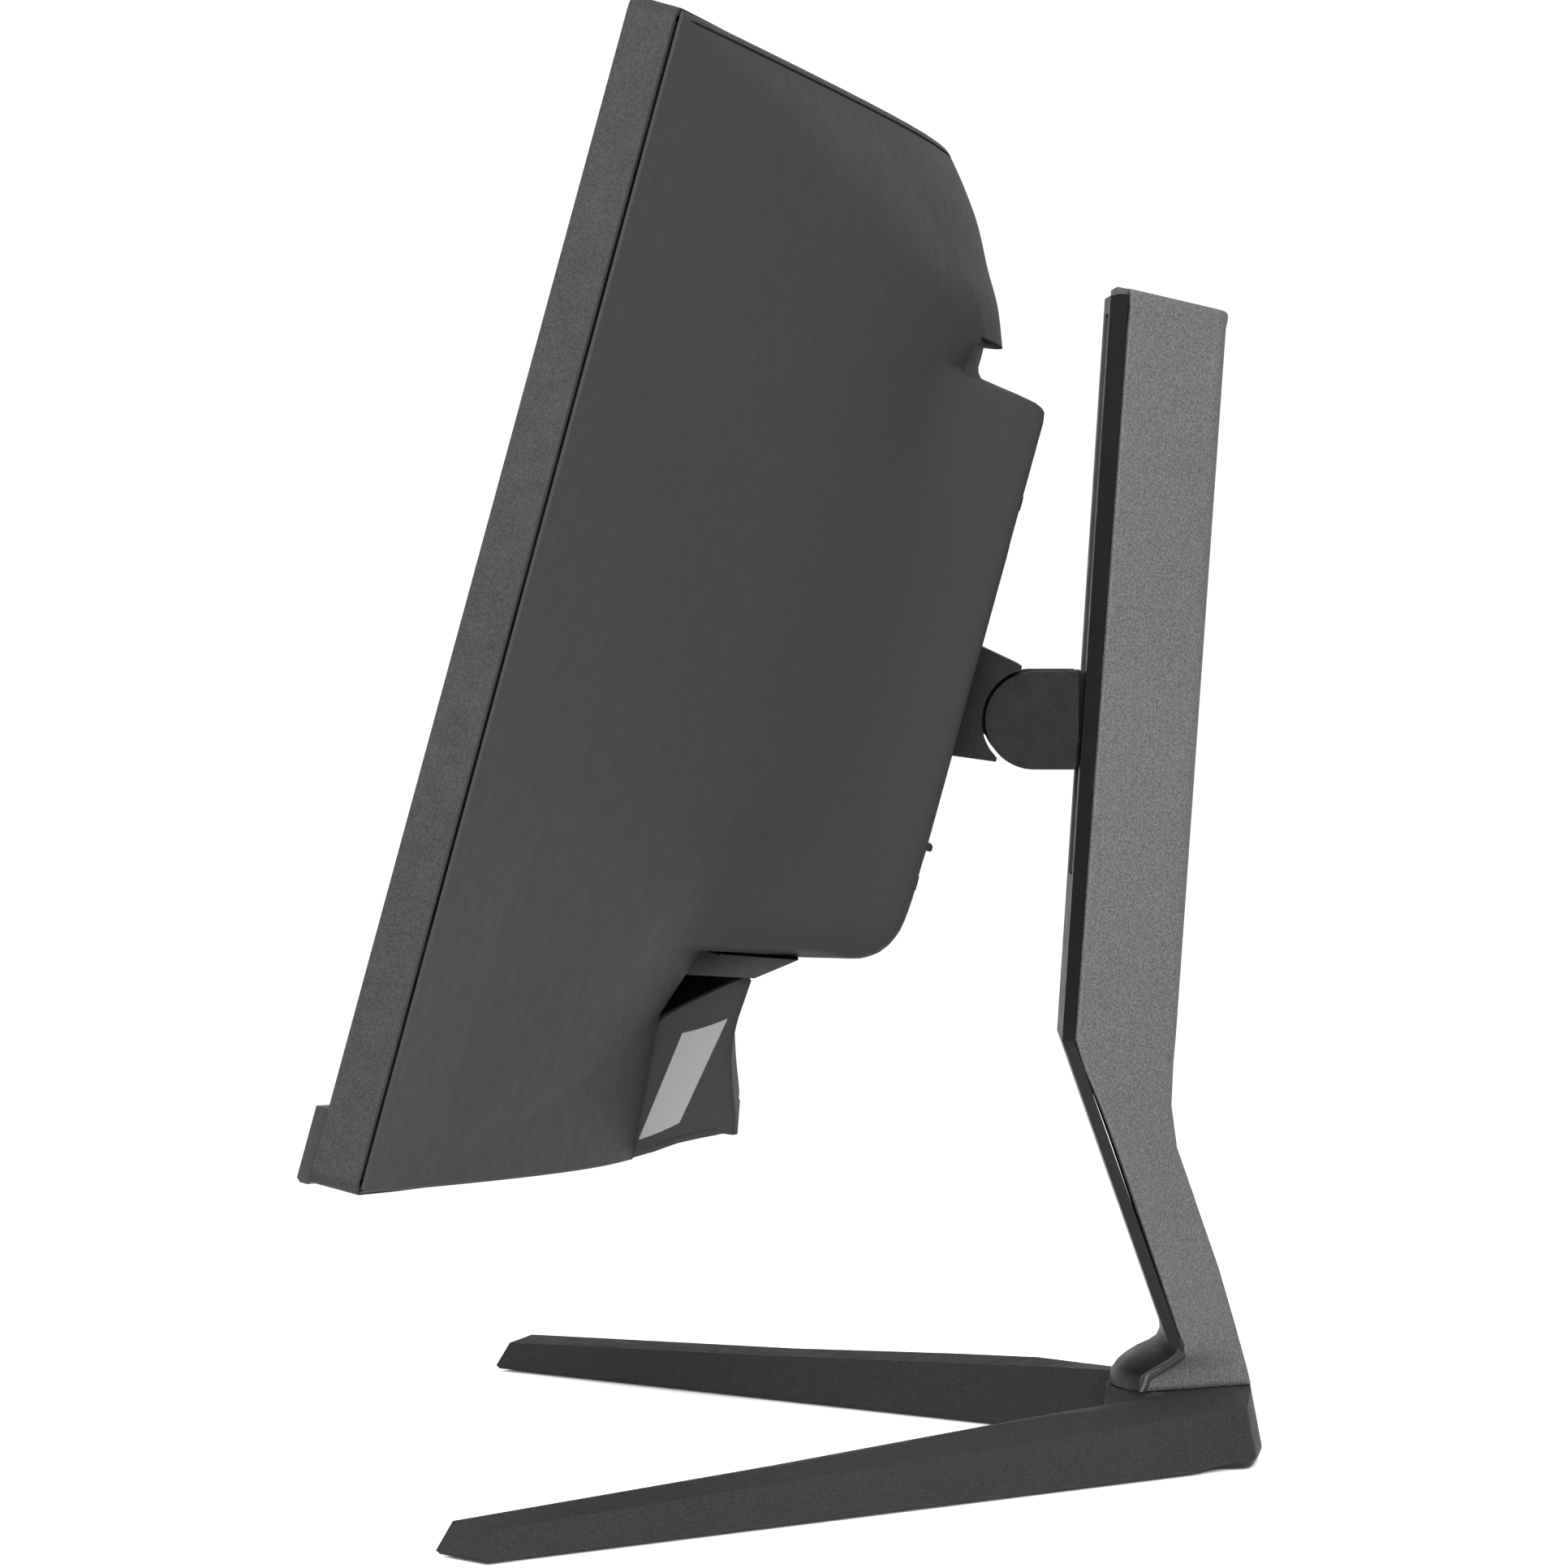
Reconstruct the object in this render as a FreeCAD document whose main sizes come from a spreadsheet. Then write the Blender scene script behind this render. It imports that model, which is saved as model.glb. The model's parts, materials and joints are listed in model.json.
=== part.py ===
import FreeCAD, Part
import math
import os

import Sketcher

# A curved desktop monitor on a height-adjustable stand with a V-shaped foot.
# Millimetres, +Z up, the screen faces -Y.  Origin: the swivel axis at table level.

doc = FreeCAD.newDocument("CurvedMonitor")

DIMENSIONS = {
    # pose
    "tilt_back": 15.3, "column_lean": 4.07, "hinge_y": -53.2, "hinge_z": 262.0,
    # head, in its own frame: Y back from the plane of the side edges, Z up from mid height
    "hinge_back": 188.2, "hinge_drop": -1.9, "frame_radius": 1501.0,
    "frame_half": 408.0, "frame_half_tall": 182.6, "frame_deep": 13.5, "frame_border": 2.4,
    "frame_corner": 4.5, "glass_thick": 2.0, "backlight_thick": 7.5, "chassis_thick": 1.2,
    "cover_half": 404.0, "cover_half_tall": 182.4, "cover_soft": 130.0,
    "rim_top": 108.4, "rim_bottom": 100.5, "crown": 138.0,
    "crown_top": 117.0, "waist": 132.0, "shoulder": 111.0, "crease": 96.0,
    "housing_half": 80.0, "housing_rear_half": 66.0, "housing_top": 107.0, "housing_bottom": -97.0,
    "housing_rear": 162.2, "housing_seat": 118.0, "housing_wall": 2.4,
    "skirt_half": 90.0, "tray_floor": 86.0, "tray_top": -106.0, "port_back": 98.0, "port_drop": -115.0,
    "port_lean": 12.15,
    "cowl_lift": 2.4,
    # tilt bracket and arm
    "bracket_half": 25.0, "bracket_top": 18.4, "bracket_bottom": -21.4, "bracket_rear": 179.0,
    "barrel_radius": 17.15, "barrel_gap": 1.3, "arm_half": 23.0, "pin_radius": 4.0, "lug_half": 8.0,
    "arm_neck_half": 11.0, "run_gap": 0.06, "hole_pitch": 100.0,
    # column, in its own leaning frame: Y back from the shell's front edge, Z along the column
    "column_y": -49.64, "shell_front_half": 28.5, "shell_rear_half": 6.0,
    "shell_wall": 2.6, "shell_top": 411.0, "bend_z": 149.5, "bend_front_y": -39.0,
    "front_half": 24.0, "slot_half": 13.0, "slot_low": 207.0, "slot_high": 405.0,
    "foot_seam": 26.0, "toe_y": -25.4,
    "rail_half": 5.0, "rail_front": 12.0, "spine_front": 20.0, "spine_thick": 3.0, "spine_half": 7.6,
    "carriage_half": 12.0, "carriage_tall": 48.0,
    # foot
    "leg_angle": 40.6, "leg_long": 340.0, "leg_wide": 26.2, "leg_corner_x": 37.7, "leg_corner_y": 21.8,
    "leg_under": 0.8, "tip_outer": 11.0, "tip_ridge": 13.3, "root_outer": 21.3, "root_ridge": 25.5,
    "collar_radius": 26.5, "collar_top": 25.6, "rear_y": 28.7, "axle_radius": 9.0, "disc_radius": 21.0,
}

sheet = doc.addObject("Spreadsheet::Sheet", "Dims")
for row, (name, number) in enumerate(DIMENSIONS.items(), start=1):
    sheet.set(f"A{row}", name)
    sheet.set(f"B{row}", str(number))
    sheet.setAlias(f"B{row}", name)
doc.recompute()


class Size:
    """A length or number with the sheet expression that gives it."""

    def __init__(self, value, text):
        self.value = value
        self.text = text

    def __add__(self, other):
        other = as_size(other)
        return Size(self.value + other.value, f"({self.text} + {other.text})")

    def __sub__(self, other):
        other = as_size(other)
        return Size(self.value - other.value, f"({self.text} - {other.text})")

    def __mul__(self, other):
        other = as_size(other)
        return Size(self.value * other.value, f"({self.text} * {other.text})")

    def __truediv__(self, other):
        other = as_size(other)
        return Size(self.value / other.value, f"({self.text} / {other.text})")

    def __neg__(self):
        return Size(-self.value, f"(0 - {self.text})")

    __radd__ = __add__
    __rmul__ = __mul__

    def __rsub__(self, other):
        return as_size(other) - self


def as_size(number):
    """A plain number as a Size, a Size as it is."""
    if isinstance(number, Size):
        return number
    return Size(float(number), f"({number:.6g})")


def dim(name):
    """The driving dimension called name."""
    return Size(DIMENSIONS[name], f"Dims.{name}")


def root(size):
    """Square root of a Size."""
    return Size(math.sqrt(size.value), f"sqrt({size.text})")


def sine(name):
    """Sine of the angle dimension called name."""
    return Size(math.sin(math.radians(DIMENSIONS[name])), f"sin(Dims.{name} * 1deg)")


def cosine(name):
    """Cosine of the angle dimension called name."""
    return Size(math.cos(math.radians(DIMENSIONS[name])), f"cos(Dims.{name} * 1deg)")


# ---------------------------------------------------------------- frames

HEAD_Y = dim("hinge_y") - dim("hinge_back") * cosine("tilt_back") - dim("hinge_drop") * sine("tilt_back")
HEAD_Z = dim("hinge_z") + dim("hinge_back") * sine("tilt_back") - dim("hinge_drop") * cosine("tilt_back")

X_AXIS = FreeCAD.Vector(1, 0, 0)
Z_AXIS = FreeCAD.Vector(0, 0, 1)

# name: base x, y, z, rotation axis, rotation angle
FRAMES = {
    "table": (as_size(0), as_size(0), as_size(0), X_AXIS, as_size(0)),
    "head": (as_size(0), HEAD_Y, HEAD_Z, X_AXIS, -dim("tilt_back")),
    "ports": (
        as_size(0),
        HEAD_Y + dim("port_back") * cosine("tilt_back") + dim("port_drop") * sine("tilt_back"),
        HEAD_Z - dim("port_back") * sine("tilt_back") + dim("port_drop") * cosine("tilt_back"),
        X_AXIS, dim("port_lean") - dim("tilt_back"),
    ),
    "column": (as_size(0), dim("column_y"), as_size(0), X_AXIS, -dim("column_lean")),
    "right_leg": (
        dim("leg_corner_x"), dim("leg_corner_y"), as_size(0), Z_AXIS, dim("leg_angle") - 90,
    ),
}


def settle(item, frame):
    """Put an item into one of the frames, bound to the sheet."""
    x, y, z, axis, angle = FRAMES[frame]
    base = FreeCAD.Vector(x.value, y.value, z.value)
    item.Placement = FreeCAD.Placement(base, FreeCAD.Rotation(axis, angle.value))
    if frame != "table":
        item.setExpression(".Placement.Base.x", x.text)
        item.setExpression(".Placement.Base.y", y.text)
        item.setExpression(".Placement.Base.z", z.text)
        item.setExpression(".Placement.Rotation.Angle", f"{angle.text} * 1deg")


# ---------------------------------------------------------------- sketches

class Outline:
    """A closed outline, or several, drawn into a sketch with every size bound."""

    def __init__(self, sketch):
        self.sketch = sketch

    def bind(self, constraint, size):
        index = self.sketch.addConstraint(constraint)
        self.sketch.setExpression(f"Constraints[{index}]", size.text)

    def pin(self, geometry, end, across, up):
        """Hold one end of a piece of geometry at (across, up)."""
        self.bind(Sketcher.Constraint("DistanceX", -1, 1, geometry, end, across.value), across)
        self.bind(Sketcher.Constraint("DistanceY", -1, 1, geometry, end, up.value), up)

    def polygon(self, points):
        """Straight-sided outline through points."""
        points = [(as_size(across), as_size(up)) for across, up in points]
        vectors = [FreeCAD.Vector(across.value, up.value, 0) for across, up in points]
        first = None
        for number, start in enumerate(vectors):
            stop = vectors[(number + 1) % len(vectors)]
            line = self.sketch.addGeometry(Part.LineSegment(start, stop))
            first = line if first is None else first
            if number:
                self.sketch.addConstraint(Sketcher.Constraint("Coincident", line - 1, 2, line, 1))
            self.pin(line, 1, *points[number])
        self.sketch.addConstraint(Sketcher.Constraint("Coincident", line, 2, first, 1))

    def box(self, left, right, low, high):
        self.polygon([(left, low), (right, low), (right, high), (left, high)])

    def circle(self, across, up, radius):
        across, up, radius = as_size(across), as_size(up), as_size(radius)
        centre = FreeCAD.Vector(across.value, up.value, 0)
        ring = self.sketch.addGeometry(Part.Circle(centre, FreeCAD.Vector(0, 0, 1), radius.value))
        self.pin(ring, 3, across, up)
        self.bind(Sketcher.Constraint("Radius", ring, radius.value), radius)

    def band(self, inner, outer, centre_y, half):
        """Part of a ring centred at (0, centre_y), out to half on both sides."""
        inner, outer, centre_y, half = (as_size(size) for size in (inner, outer, centre_y, half))
        centre = FreeCAD.Vector(0, centre_y.value, 0)
        corners = []
        arcs = []
        for radius in (inner, outer):
            swing = math.asin(half.value / radius.value)
            ring = Part.Circle(centre, FreeCAD.Vector(0, 0, 1), radius.value)
            arc = Part.ArcOfCircle(ring, math.pi / 2 - swing, math.pi / 2 + swing)
            arcs.append(self.sketch.addGeometry(arc))
            height = centre_y.value + math.sqrt(radius.value ** 2 - half.value ** 2)
            corners.append(height)
        for arc, radius in zip(arcs, (inner, outer)):
            self.pin(arc, 3, as_size(0), centre_y)
            self.bind(Sketcher.Constraint("Radius", arc, radius.value), radius)
            self.bind(Sketcher.Constraint("DistanceX", -1, 1, arc, 1, half.value), half)
            self.bind(Sketcher.Constraint("DistanceX", -1, 1, arc, 2, -half.value), -half)
        for end, side in ((1, 1), (2, -1)):
            low = FreeCAD.Vector(side * half.value, corners[0], 0)
            high = FreeCAD.Vector(side * half.value, corners[1], 0)
            line = self.sketch.addGeometry(Part.LineSegment(low, high))
            self.sketch.addConstraint(Sketcher.Constraint("Coincident", line, 1, arcs[0], end))
            self.sketch.addConstraint(Sketcher.Constraint("Coincident", line, 2, arcs[1], end))


ROLES = {"XY": "XY_Plane", "XZ": "XZ_Plane", "YZ": "YZ_Plane"}


class Piece:
    """One physical piece: a body in a frame, built up by pads, cuts and lofts."""

    def __init__(self, name, frame):
        self.body = doc.addObject("PartDesign::Body", name)
        self.body.Label = name
        settle(self.body, frame)

    def sketch(self, plane, at, draw):
        """A sketch on a plane of the body, moved by `at` along the positive axis."""
        at = as_size(at)
        if plane == "XZ":
            at = -at
        sketch = self.body.newObject("Sketcher::SketchObject", f"{self.body.Label}_sketch")
        planes = {feature.Role: feature for feature in self.body.Origin.OriginFeatures}
        sketch.AttachmentSupport = (planes[ROLES[plane]], [""])
        sketch.MapMode = "FlatFace"
        sketch.AttachmentOffset = FreeCAD.Placement(FreeCAD.Vector(0, 0, at.value), FreeCAD.Rotation())
        sketch.setExpression(".AttachmentOffset.Base.z", at.text)
        draw(Outline(sketch))
        return sketch

    def extrude(self, kind, plane, start, stop, draw):
        """Pad or cut from start to stop along the positive axis of the plane."""
        start, stop = as_size(start), as_size(stop)
        sketch = self.sketch(plane, start, draw)
        feature = self.body.newObject(f"PartDesign::{kind}", f"{self.body.Label}_{kind.lower()}")
        feature.Profile = sketch
        feature.Type = 0
        feature.Length = (stop - start).value
        feature.setExpression("Length", (stop - start).text)
        towards_plane_normal = plane != "XZ"
        feature.Reversed = towards_plane_normal == (kind == "Pocket")
        return feature

    def pad(self, plane, start, stop, draw):
        self.extrude("Pad", plane, start, stop, draw)
        doc.recompute()
        return self

    def cut(self, plane, start, stop, draw):
        doc.recompute()
        before = self.body.Shape.Volume
        self.extrude("Pocket", plane, start, stop, draw)
        doc.recompute()
        if self.body.Shape.Volume > before - 0.01:
            raise RuntimeError(f"a cut in {self.body.Label} removes nothing")
        return self

    def loft(self, kind, plane, sections, ruled):
        """Loft through (position, draw) sections."""
        sketches = [self.sketch(plane, at, draw) for at, draw in sections]
        feature = self.body.newObject(f"PartDesign::{kind}Loft", f"{self.body.Label}_{kind.lower()}_loft")
        feature.Profile = sketches[0]
        feature.Sections = sketches[1:]
        feature.Ruled = ruled
        doc.recompute()
        return self

    def revolve(self, plane, draw):
        """Turn an outline about the frame's vertical axis."""
        sketch = self.sketch(plane, 0, draw)
        feature = self.body.newObject("PartDesign::Revolution", f"{self.body.Label}_turned")
        feature.Profile = sketch
        feature.ReferenceAxis = (sketch, ["V_Axis"])
        feature.Angle = 360
        doc.recompute()
        return self

    def soften(self, radius, chosen, kind="Fillet"):
        """Round or chamfer the edges that `chosen` picks, in the frame's coordinates."""
        radius = as_size(radius)
        tip = self.body.Tip
        names = []
        for number, edge in enumerate(tip.Shape.Edges, start=1):
            if chosen(edge):
                names.append(f"Edge{number}")
        if not names:
            raise RuntimeError(f"no edge to soften in {self.body.Label}")
        feature = self.body.newObject(f"PartDesign::{kind}", f"{self.body.Label}_{kind.lower()}")
        feature.Base = (tip, names)
        prop = "Radius" if kind == "Fillet" else "Size"
        setattr(feature, prop, radius.value)
        feature.setExpression(prop, radius.text)
        doc.recompute()
        return self


def along(edge, axis):
    """True for a straight edge parallel to one axis, given as a Vector."""
    if not isinstance(edge.Curve, Part.Line):
        return False
    return abs(edge.Curve.Direction.dot(axis)) > 0.999


def middle(edge):
    return edge.BoundBox.Center


Y_AXIS = FreeCAD.Vector(0, 1, 0)


def block(name, frame, spans):
    """A box-shaped piece between two corners."""
    (left, right), (front, back), (low, high) = spans
    piece = Piece(name, frame)
    piece.pad("XY", low, high, lambda outline: outline.box(left, right, front, back))
    return piece


# ---------------------------------------------------------------- foot

LEG_SPAN_BACK = -70


def leg_section(outer, ridge, inner):
    """Roof-shaped section of a leg, from its outer side (0) inwards (negative)."""
    wide = dim("leg_wide")

    def draw(outline):
        outline.polygon([
            (0, dim("leg_under")), (-1.5, outer), (-wide / 2, ridge),
            (1.5 - wide, inner), (-wide, dim("leg_under")),
        ])

    return draw


right_leg = Piece("right_leg", "right_leg")
halfway = dim("root_outer") - (dim("root_outer") - dim("tip_outer")) * 80 / dim("leg_long")
right_leg.loft("Additive", "YZ", [
    (LEG_SPAN_BACK, leg_section(dim("root_outer"), dim("root_ridge"), dim("root_ridge"))),
    (0, leg_section(dim("root_outer"), dim("root_ridge"), dim("root_ridge"))),
    (80, leg_section(halfway, dim("root_ridge"), dim("root_ridge") - 2.6)),
    (dim("leg_long"), leg_section(dim("tip_outer"), dim("tip_ridge"), dim("tip_outer"))),
], True)
slant = dim("leg_long") - 7
right_leg.cut("XZ", -40, 10, lambda outline: outline.polygon([
    (dim("leg_long"), 0), (dim("leg_long") + 30, 0), (dim("leg_long") + 30, 30), (slant - 1, 18),
]))
right_leg.soften(3.5, lambda edge: middle(edge).x > 330 and abs(middle(edge).z - 6) < 3.5
                 and edge.Length > 7 and edge.BoundBox.YLength < 3)

left_leg = doc.addObject("Part::Mirroring", "left_leg")
left_leg.Source = right_leg.body
left_leg.Normal = (1, 0, 0)

collar = Piece("collar", "table")
collar.revolve("XZ", lambda outline: outline.polygon([
    (0, dim("leg_under")), (dim("collar_radius") + 1.5, dim("leg_under")),
    (dim("collar_radius"), dim("collar_top")), (0, dim("collar_top")),
]))
envelope = Piece("envelope", "table")
envelope.pad("XY", 0, 40, lambda outline: outline.polygon([
    (0, dim("rear_y")), (dim("leg_corner_x"), dim("leg_corner_y")), (400, dim("leg_corner_y")),
    (400, -400), (-400, -400), (-400, dim("leg_corner_y")), (-dim("leg_corner_x"), dim("leg_corner_y")),
]))
envelope.cut("YZ", -60, 60, lambda outline: outline.polygon([
    (27.2, -1), (dim("rear_y"), 3.4), (22.9, 25.8), (22.9, 45), (60, 45), (60, -1),
]))
bores = Piece("foot_bores", "table")
bores.pad("XY", -1, 40, lambda outline: outline.circle(0, 0, dim("axle_radius") + dim("run_gap")))
bores.pad("XY", -1, 6, lambda outline: outline.circle(0, 0, dim("disc_radius")))
fused = doc.addObject("Part::MultiFuse", "foot_fused")
fused.Shapes = [right_leg.body, left_leg, collar.body]
trimmed = doc.addObject("Part::Common", "foot_trimmed")
trimmed.Base = fused
trimmed.Tool = envelope.body
foot = doc.addObject("Part::Cut", "foot_casting")
foot.Base = trimmed
foot.Tool = bores.body
foot.Label = "foot_casting"
doc.recompute()

foot_pads = Piece("foot_pads", "table")


def pad_spots(outline):
    for side in (1, -1):
        for distance in (22, 318):
            across = dim("leg_corner_x") + sine("leg_angle") * distance - cosine("leg_angle") * 13
            back = dim("leg_corner_y") - cosine("leg_angle") * distance - sine("leg_angle") * 13
            outline.circle(across * side, back, 7)


foot_pads.pad("XY", 0, dim("leg_under") - 0.02, pad_spots)
OUT = {"foot_casting": foot, "foot_pads": foot_pads.body}

swivel_axle = Piece("swivel_axle", "table")
swivel_axle.pad("XY", 3.4, 33, lambda outline: outline.circle(0, 0, dim("axle_radius")))
swivel_axle.cut("XY", 3.4, 18, lambda outline: outline.circle(0, 0, 3))
OUT["swivel_axle"] = swivel_axle.body

retaining_washer = Piece("retaining_washer", "table")
retaining_washer.pad("XY", 3.9, 5.8, lambda outline: outline.circle(0, 0, 17))
retaining_washer.cut("XY", 3, 6, lambda outline: outline.circle(0, 0, dim("axle_radius") + 0.15))
OUT["retaining_washer"] = retaining_washer.body

swivel_bolt = Piece("swivel_bolt", "table")
swivel_bolt.pad("XY", 1.5, 3.3, lambda outline: outline.circle(0, 0, 12))
swivel_bolt.pad("XY", 3.3, 16, lambda outline: outline.circle(0, 0, 2.9))
swivel_bolt.cut("XY", 1.5, 2.4, lambda outline: outline.box(-10, 10, -1, 1))
OUT["swivel_bolt"] = swivel_bolt.body

hub_pad = Piece("hub_pad", "table")
hub_pad.pad("XY", 0, 1.1, lambda outline: outline.circle(0, 0, dim("disc_radius") - 0.1))
OUT["hub_pad"] = hub_pad.body


def add(name, piece):
    """Keep a finished piece as one of the nodes."""
    OUT[name] = piece.body
    return piece


# ---------------------------------------------------------------- column

def wedge(front, rear, front_half, rear_half, rounding=0.0):
    """Plan of the column: wide in front, narrow behind, its rear corners eased."""
    right = [(front_half, front)]
    if rounding:
        slope = (front_half - rear_half) / (rear - front)
        right.append((rear_half + slope * rounding, rear - rounding))
        right.append((rear_half - rounding * 0.3, rear - rounding * 0.3))
        right.append((rear_half - rounding * 0.9, rear))
    else:
        right.append((rear_half, rear))
    left = [(-across, back) for across, back in reversed(right)]
    return lambda outline: outline.polygon(right + left)


lean_slope = sine("column_lean") / cosine("column_lean")
shell_tip = dim("shell_top") + 6
tip_front = dim("bend_front_y") + (shell_tip - dim("bend_z")) * lean_slope

# height, y of the front edge, y of the rear face, half width at the front edge
SHELL_STATIONS = [
    (dim("foot_seam"), as_size(-16.6), as_size(23.2), as_size(27.4)),
    (as_size(32), as_size(-14.2), as_size(22.8), as_size(27.4)),
    (as_size(40), as_size(0), as_size(20.7), as_size(27.0)),
    (as_size(125), dim("bend_front_y") + 8.9, as_size(-3.1), dim("shell_front_half")),
    (dim("bend_z"), dim("bend_front_y"), as_size(-2.0), dim("shell_front_half")),
    (shell_tip, tip_front, as_size(16.2), dim("shell_front_half")),
]


def shell_plan(front, rear, half):
    """Outer plan of the column at one height."""
    return wedge(front, rear, half, dim("shell_rear_half"), 4.0)


def cavity_plan(front, rear, half):
    """Hollow of the column at one height, open in front."""
    wall = dim("shell_wall")
    rear_half = dim("shell_rear_half")
    taper = (half - rear_half) / (rear - front)
    side = wall * 1.2
    return wedge(front - 0.5, rear - wall, half - side, rear_half + taper * wall - side)


column_shell = Piece("column_shell", "table")
column_shell.loft("Additive", "XY", [
    (height, shell_plan(front, rear, half)) for height, front, rear, half in SHELL_STATIONS
], True)
column_shell.loft("Subtractive", "XY", [
    (height, cavity_plan(front, rear, half)) for height, front, rear, half in SHELL_STATIONS[2:]
], True)
column_shell.cut("YZ", -40, 40, lambda outline: outline.polygon([
    (-30, dim("shell_top") + 4.3), (20, dim("shell_top") - 6.0), (40, dim("shell_top") + 30), (-30, 450),
]))
column_shell.cut("XY", 20, 45, lambda outline: outline.circle(0, 0, dim("axle_radius")))
add("column_shell", column_shell)

column_cap = Piece("column_cap", "table")
column_cap.pad("YZ", -24.6, 24.6, lambda outline: outline.polygon([
    (-24.4, dim("shell_top") + 0.4), (-24.4, dim("shell_top") + 3.0),
    (11.2, dim("shell_top") - 4.3), (11.2, dim("shell_top") - 6.9), (-20.2, dim("shell_top") + 0.3),
]))
for side in (1, -1):
    column_cap.cut("XY", 380, 440, lambda outline: outline.polygon([
        (side * 24.7, -20.2), (side * 5.2, 11.4), (side * 30, 20),
    ]))
add("column_cap", column_cap)

# The smooth front cover stands proud of the shell and has the slot for the arm.
# height, y of the shell's front edge, how far the cover stands in front of it
COVER_STATIONS = [
    (as_size(40.4), as_size(-0.4), 4.4),
    (dim("bend_z"), dim("bend_front_y"), 4.2),
    (dim("shell_top"), dim("bend_front_y") + (dim("shell_top") - dim("bend_z")) * lean_slope, 6.2),
]
front_cover = Piece("column_front_cover", "table")
front_cover.loft("Additive", "XY", [
    (height, wedge(front - proud, front - 0.1, dim("front_half"), dim("shell_front_half") - 0.6))
    for height, front, proud in COVER_STATIONS
], True)
front_cover.cut("XZ", -80, 10, lambda outline: outline.box(
    -dim("slot_half"), dim("slot_half"), dim("slot_low"), dim("slot_high")))
add("column_front_cover", front_cover)

toe_cover = Piece("toe_cover", "table")
toe_cover.pad("YZ", -27, 27, lambda outline: outline.polygon([
    (dim("toe_y"), dim("foot_seam")), (dim("toe_y") + 0.4, dim("foot_seam") + 5.4),
    (dim("toe_y") + 2.4, dim("foot_seam") + 7.0), (-5.8, 38.9), (-1.6, 39.9),
    (-14.4, 32.2), (-16.8, dim("foot_seam")),
]))
for side in (1, -1):
    toe_cover.cut("XY", 20, 45, lambda outline: outline.polygon([
        (side * 0.5, dim("toe_y") - 0.4), (side * 15, dim("toe_y") + 2.8), (side * 26.9, -16.6),
        (side * 24, -2), (side * 24, 5), (side * 40, 5), (side * 40, -40), (side * 0.5, -40),
    ]))
add("toe_cover", toe_cover)

swivel_disc = Piece("swivel_disc", "table")
swivel_disc.pad("XY", dim("collar_top") + 0.02, dim("foot_seam") - 0.02,
                lambda outline: outline.circle(0, 0, 15))
swivel_disc.cut("XY", 20, 40, lambda outline: outline.circle(0, 0, dim("axle_radius") + 0.1))
add("swivel_disc", swivel_disc)

spine = block("column_spine", "column", (
    (-dim("spine_half"), dim("spine_half")),
    (dim("spine_front"), dim("spine_front") + dim("spine_thick")), (168, 400),
))
for height in range(185, 395, 30):
    spine.cut("XZ", 0, 40, lambda outline: outline.circle(0, height, 2.2))
add("column_spine", spine)

rail = block("guide_rail", "column", (
    (-dim("rail_half"), dim("rail_half")), (dim("rail_front"), dim("spine_front") - 0.05), (176, 399),
))
for side in (1, -1):
    rail.cut("XY", 160, 410, lambda outline: outline.polygon([
        (side * 2.6, 14.8), (side * 6, 14.0), (side * 6, 17.4), (side * 2.6, 16.6),
    ]))
add("guide_rail", rail)

# ---------------------------------------------------------------- lift carriage and arm

hinge_along = (dim("hinge_z") * cosine("column_lean")
               + (dim("hinge_y") - dim("column_y")) * sine("column_lean"))
carriage_low = hinge_along - dim("carriage_tall") / 2
carriage_high = hinge_along + dim("carriage_tall") / 2

carriage = block("lift_carriage", "column", (
    (-dim("carriage_half"), dim("carriage_half")), (1.0, dim("rail_front") + 6.2),
    (carriage_low, carriage_high),
))
carriage.cut("XY", carriage_low, carriage_high, lambda outline: outline.box(
    -dim("rail_half") - 0.1, dim("rail_half") + 0.1, dim("rail_front") - 0.1, 40))
add("lift_carriage", carriage)

lift_spring = Piece("lift_spring", "column")
lift_spring.pad("YZ", -6, 6, lambda outline: outline.circle(6.0, carriage_low - 6.2, 5.6))
lift_spring.cut("YZ", -7, 7, lambda outline: outline.circle(6.0, carriage_low - 6.2, 2.4))
add("lift_spring", lift_spring)

arm = Piece("tilt_arm", "table")
arm_low = dim("hinge_z") - dim("barrel_radius")
arm_high = dim("hinge_z") + dim("barrel_radius")
arm.pad("YZ", -dim("arm_half"), dim("arm_half"),
        lambda outline: outline.circle(dim("hinge_y"), dim("hinge_z"), dim("barrel_radius")))
arm.pad("YZ", -dim("arm_half"), dim("arm_half"), lambda outline: outline.polygon([
    (dim("hinge_y"), arm_low), (-38.6, arm_low), (-36.1, arm_high), (dim("hinge_y"), arm_high),
]))
arm.pad("YZ", -dim("arm_neck_half"), dim("arm_neck_half"), lambda outline: outline.polygon([
    (-42, arm_low + 1), (-31.16, arm_low + 1), (-28.86, arm_high - 1), (-42, arm_high - 1),
]))
for side in (1, -1):
    arm.cut("XY", 240, 285, lambda outline: outline.polygon([
        (side * (dim("arm_neck_half") + 0.5), -37.6), (side * 25, -37.6), (side * 25, -30),
        (side * (dim("arm_neck_half") + 0.5), -30),
    ]))
arm.cut("XZ", dim("hinge_y") - 20, dim("hinge_y") + 13, lambda outline: outline.box(
    -dim("lug_half") - 0.5, dim("lug_half") + 0.5, arm_low - 1, arm_high + 1))
arm.cut("YZ", 2 - dim("arm_half"), dim("arm_half") - 2, lambda outline: outline.circle(
    dim("hinge_y"), dim("hinge_z"), dim("pin_radius") + 0.02))
add("tilt_arm", arm)

pin = Piece("tilt_pin", "table")
pin.pad("YZ", 2.1 - dim("arm_half"), dim("arm_half") - 2.1,
        lambda outline: outline.circle(dim("hinge_y"), dim("hinge_z"), dim("pin_radius")))
add("tilt_pin", pin)

# ---------------------------------------------------------------- head

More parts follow.
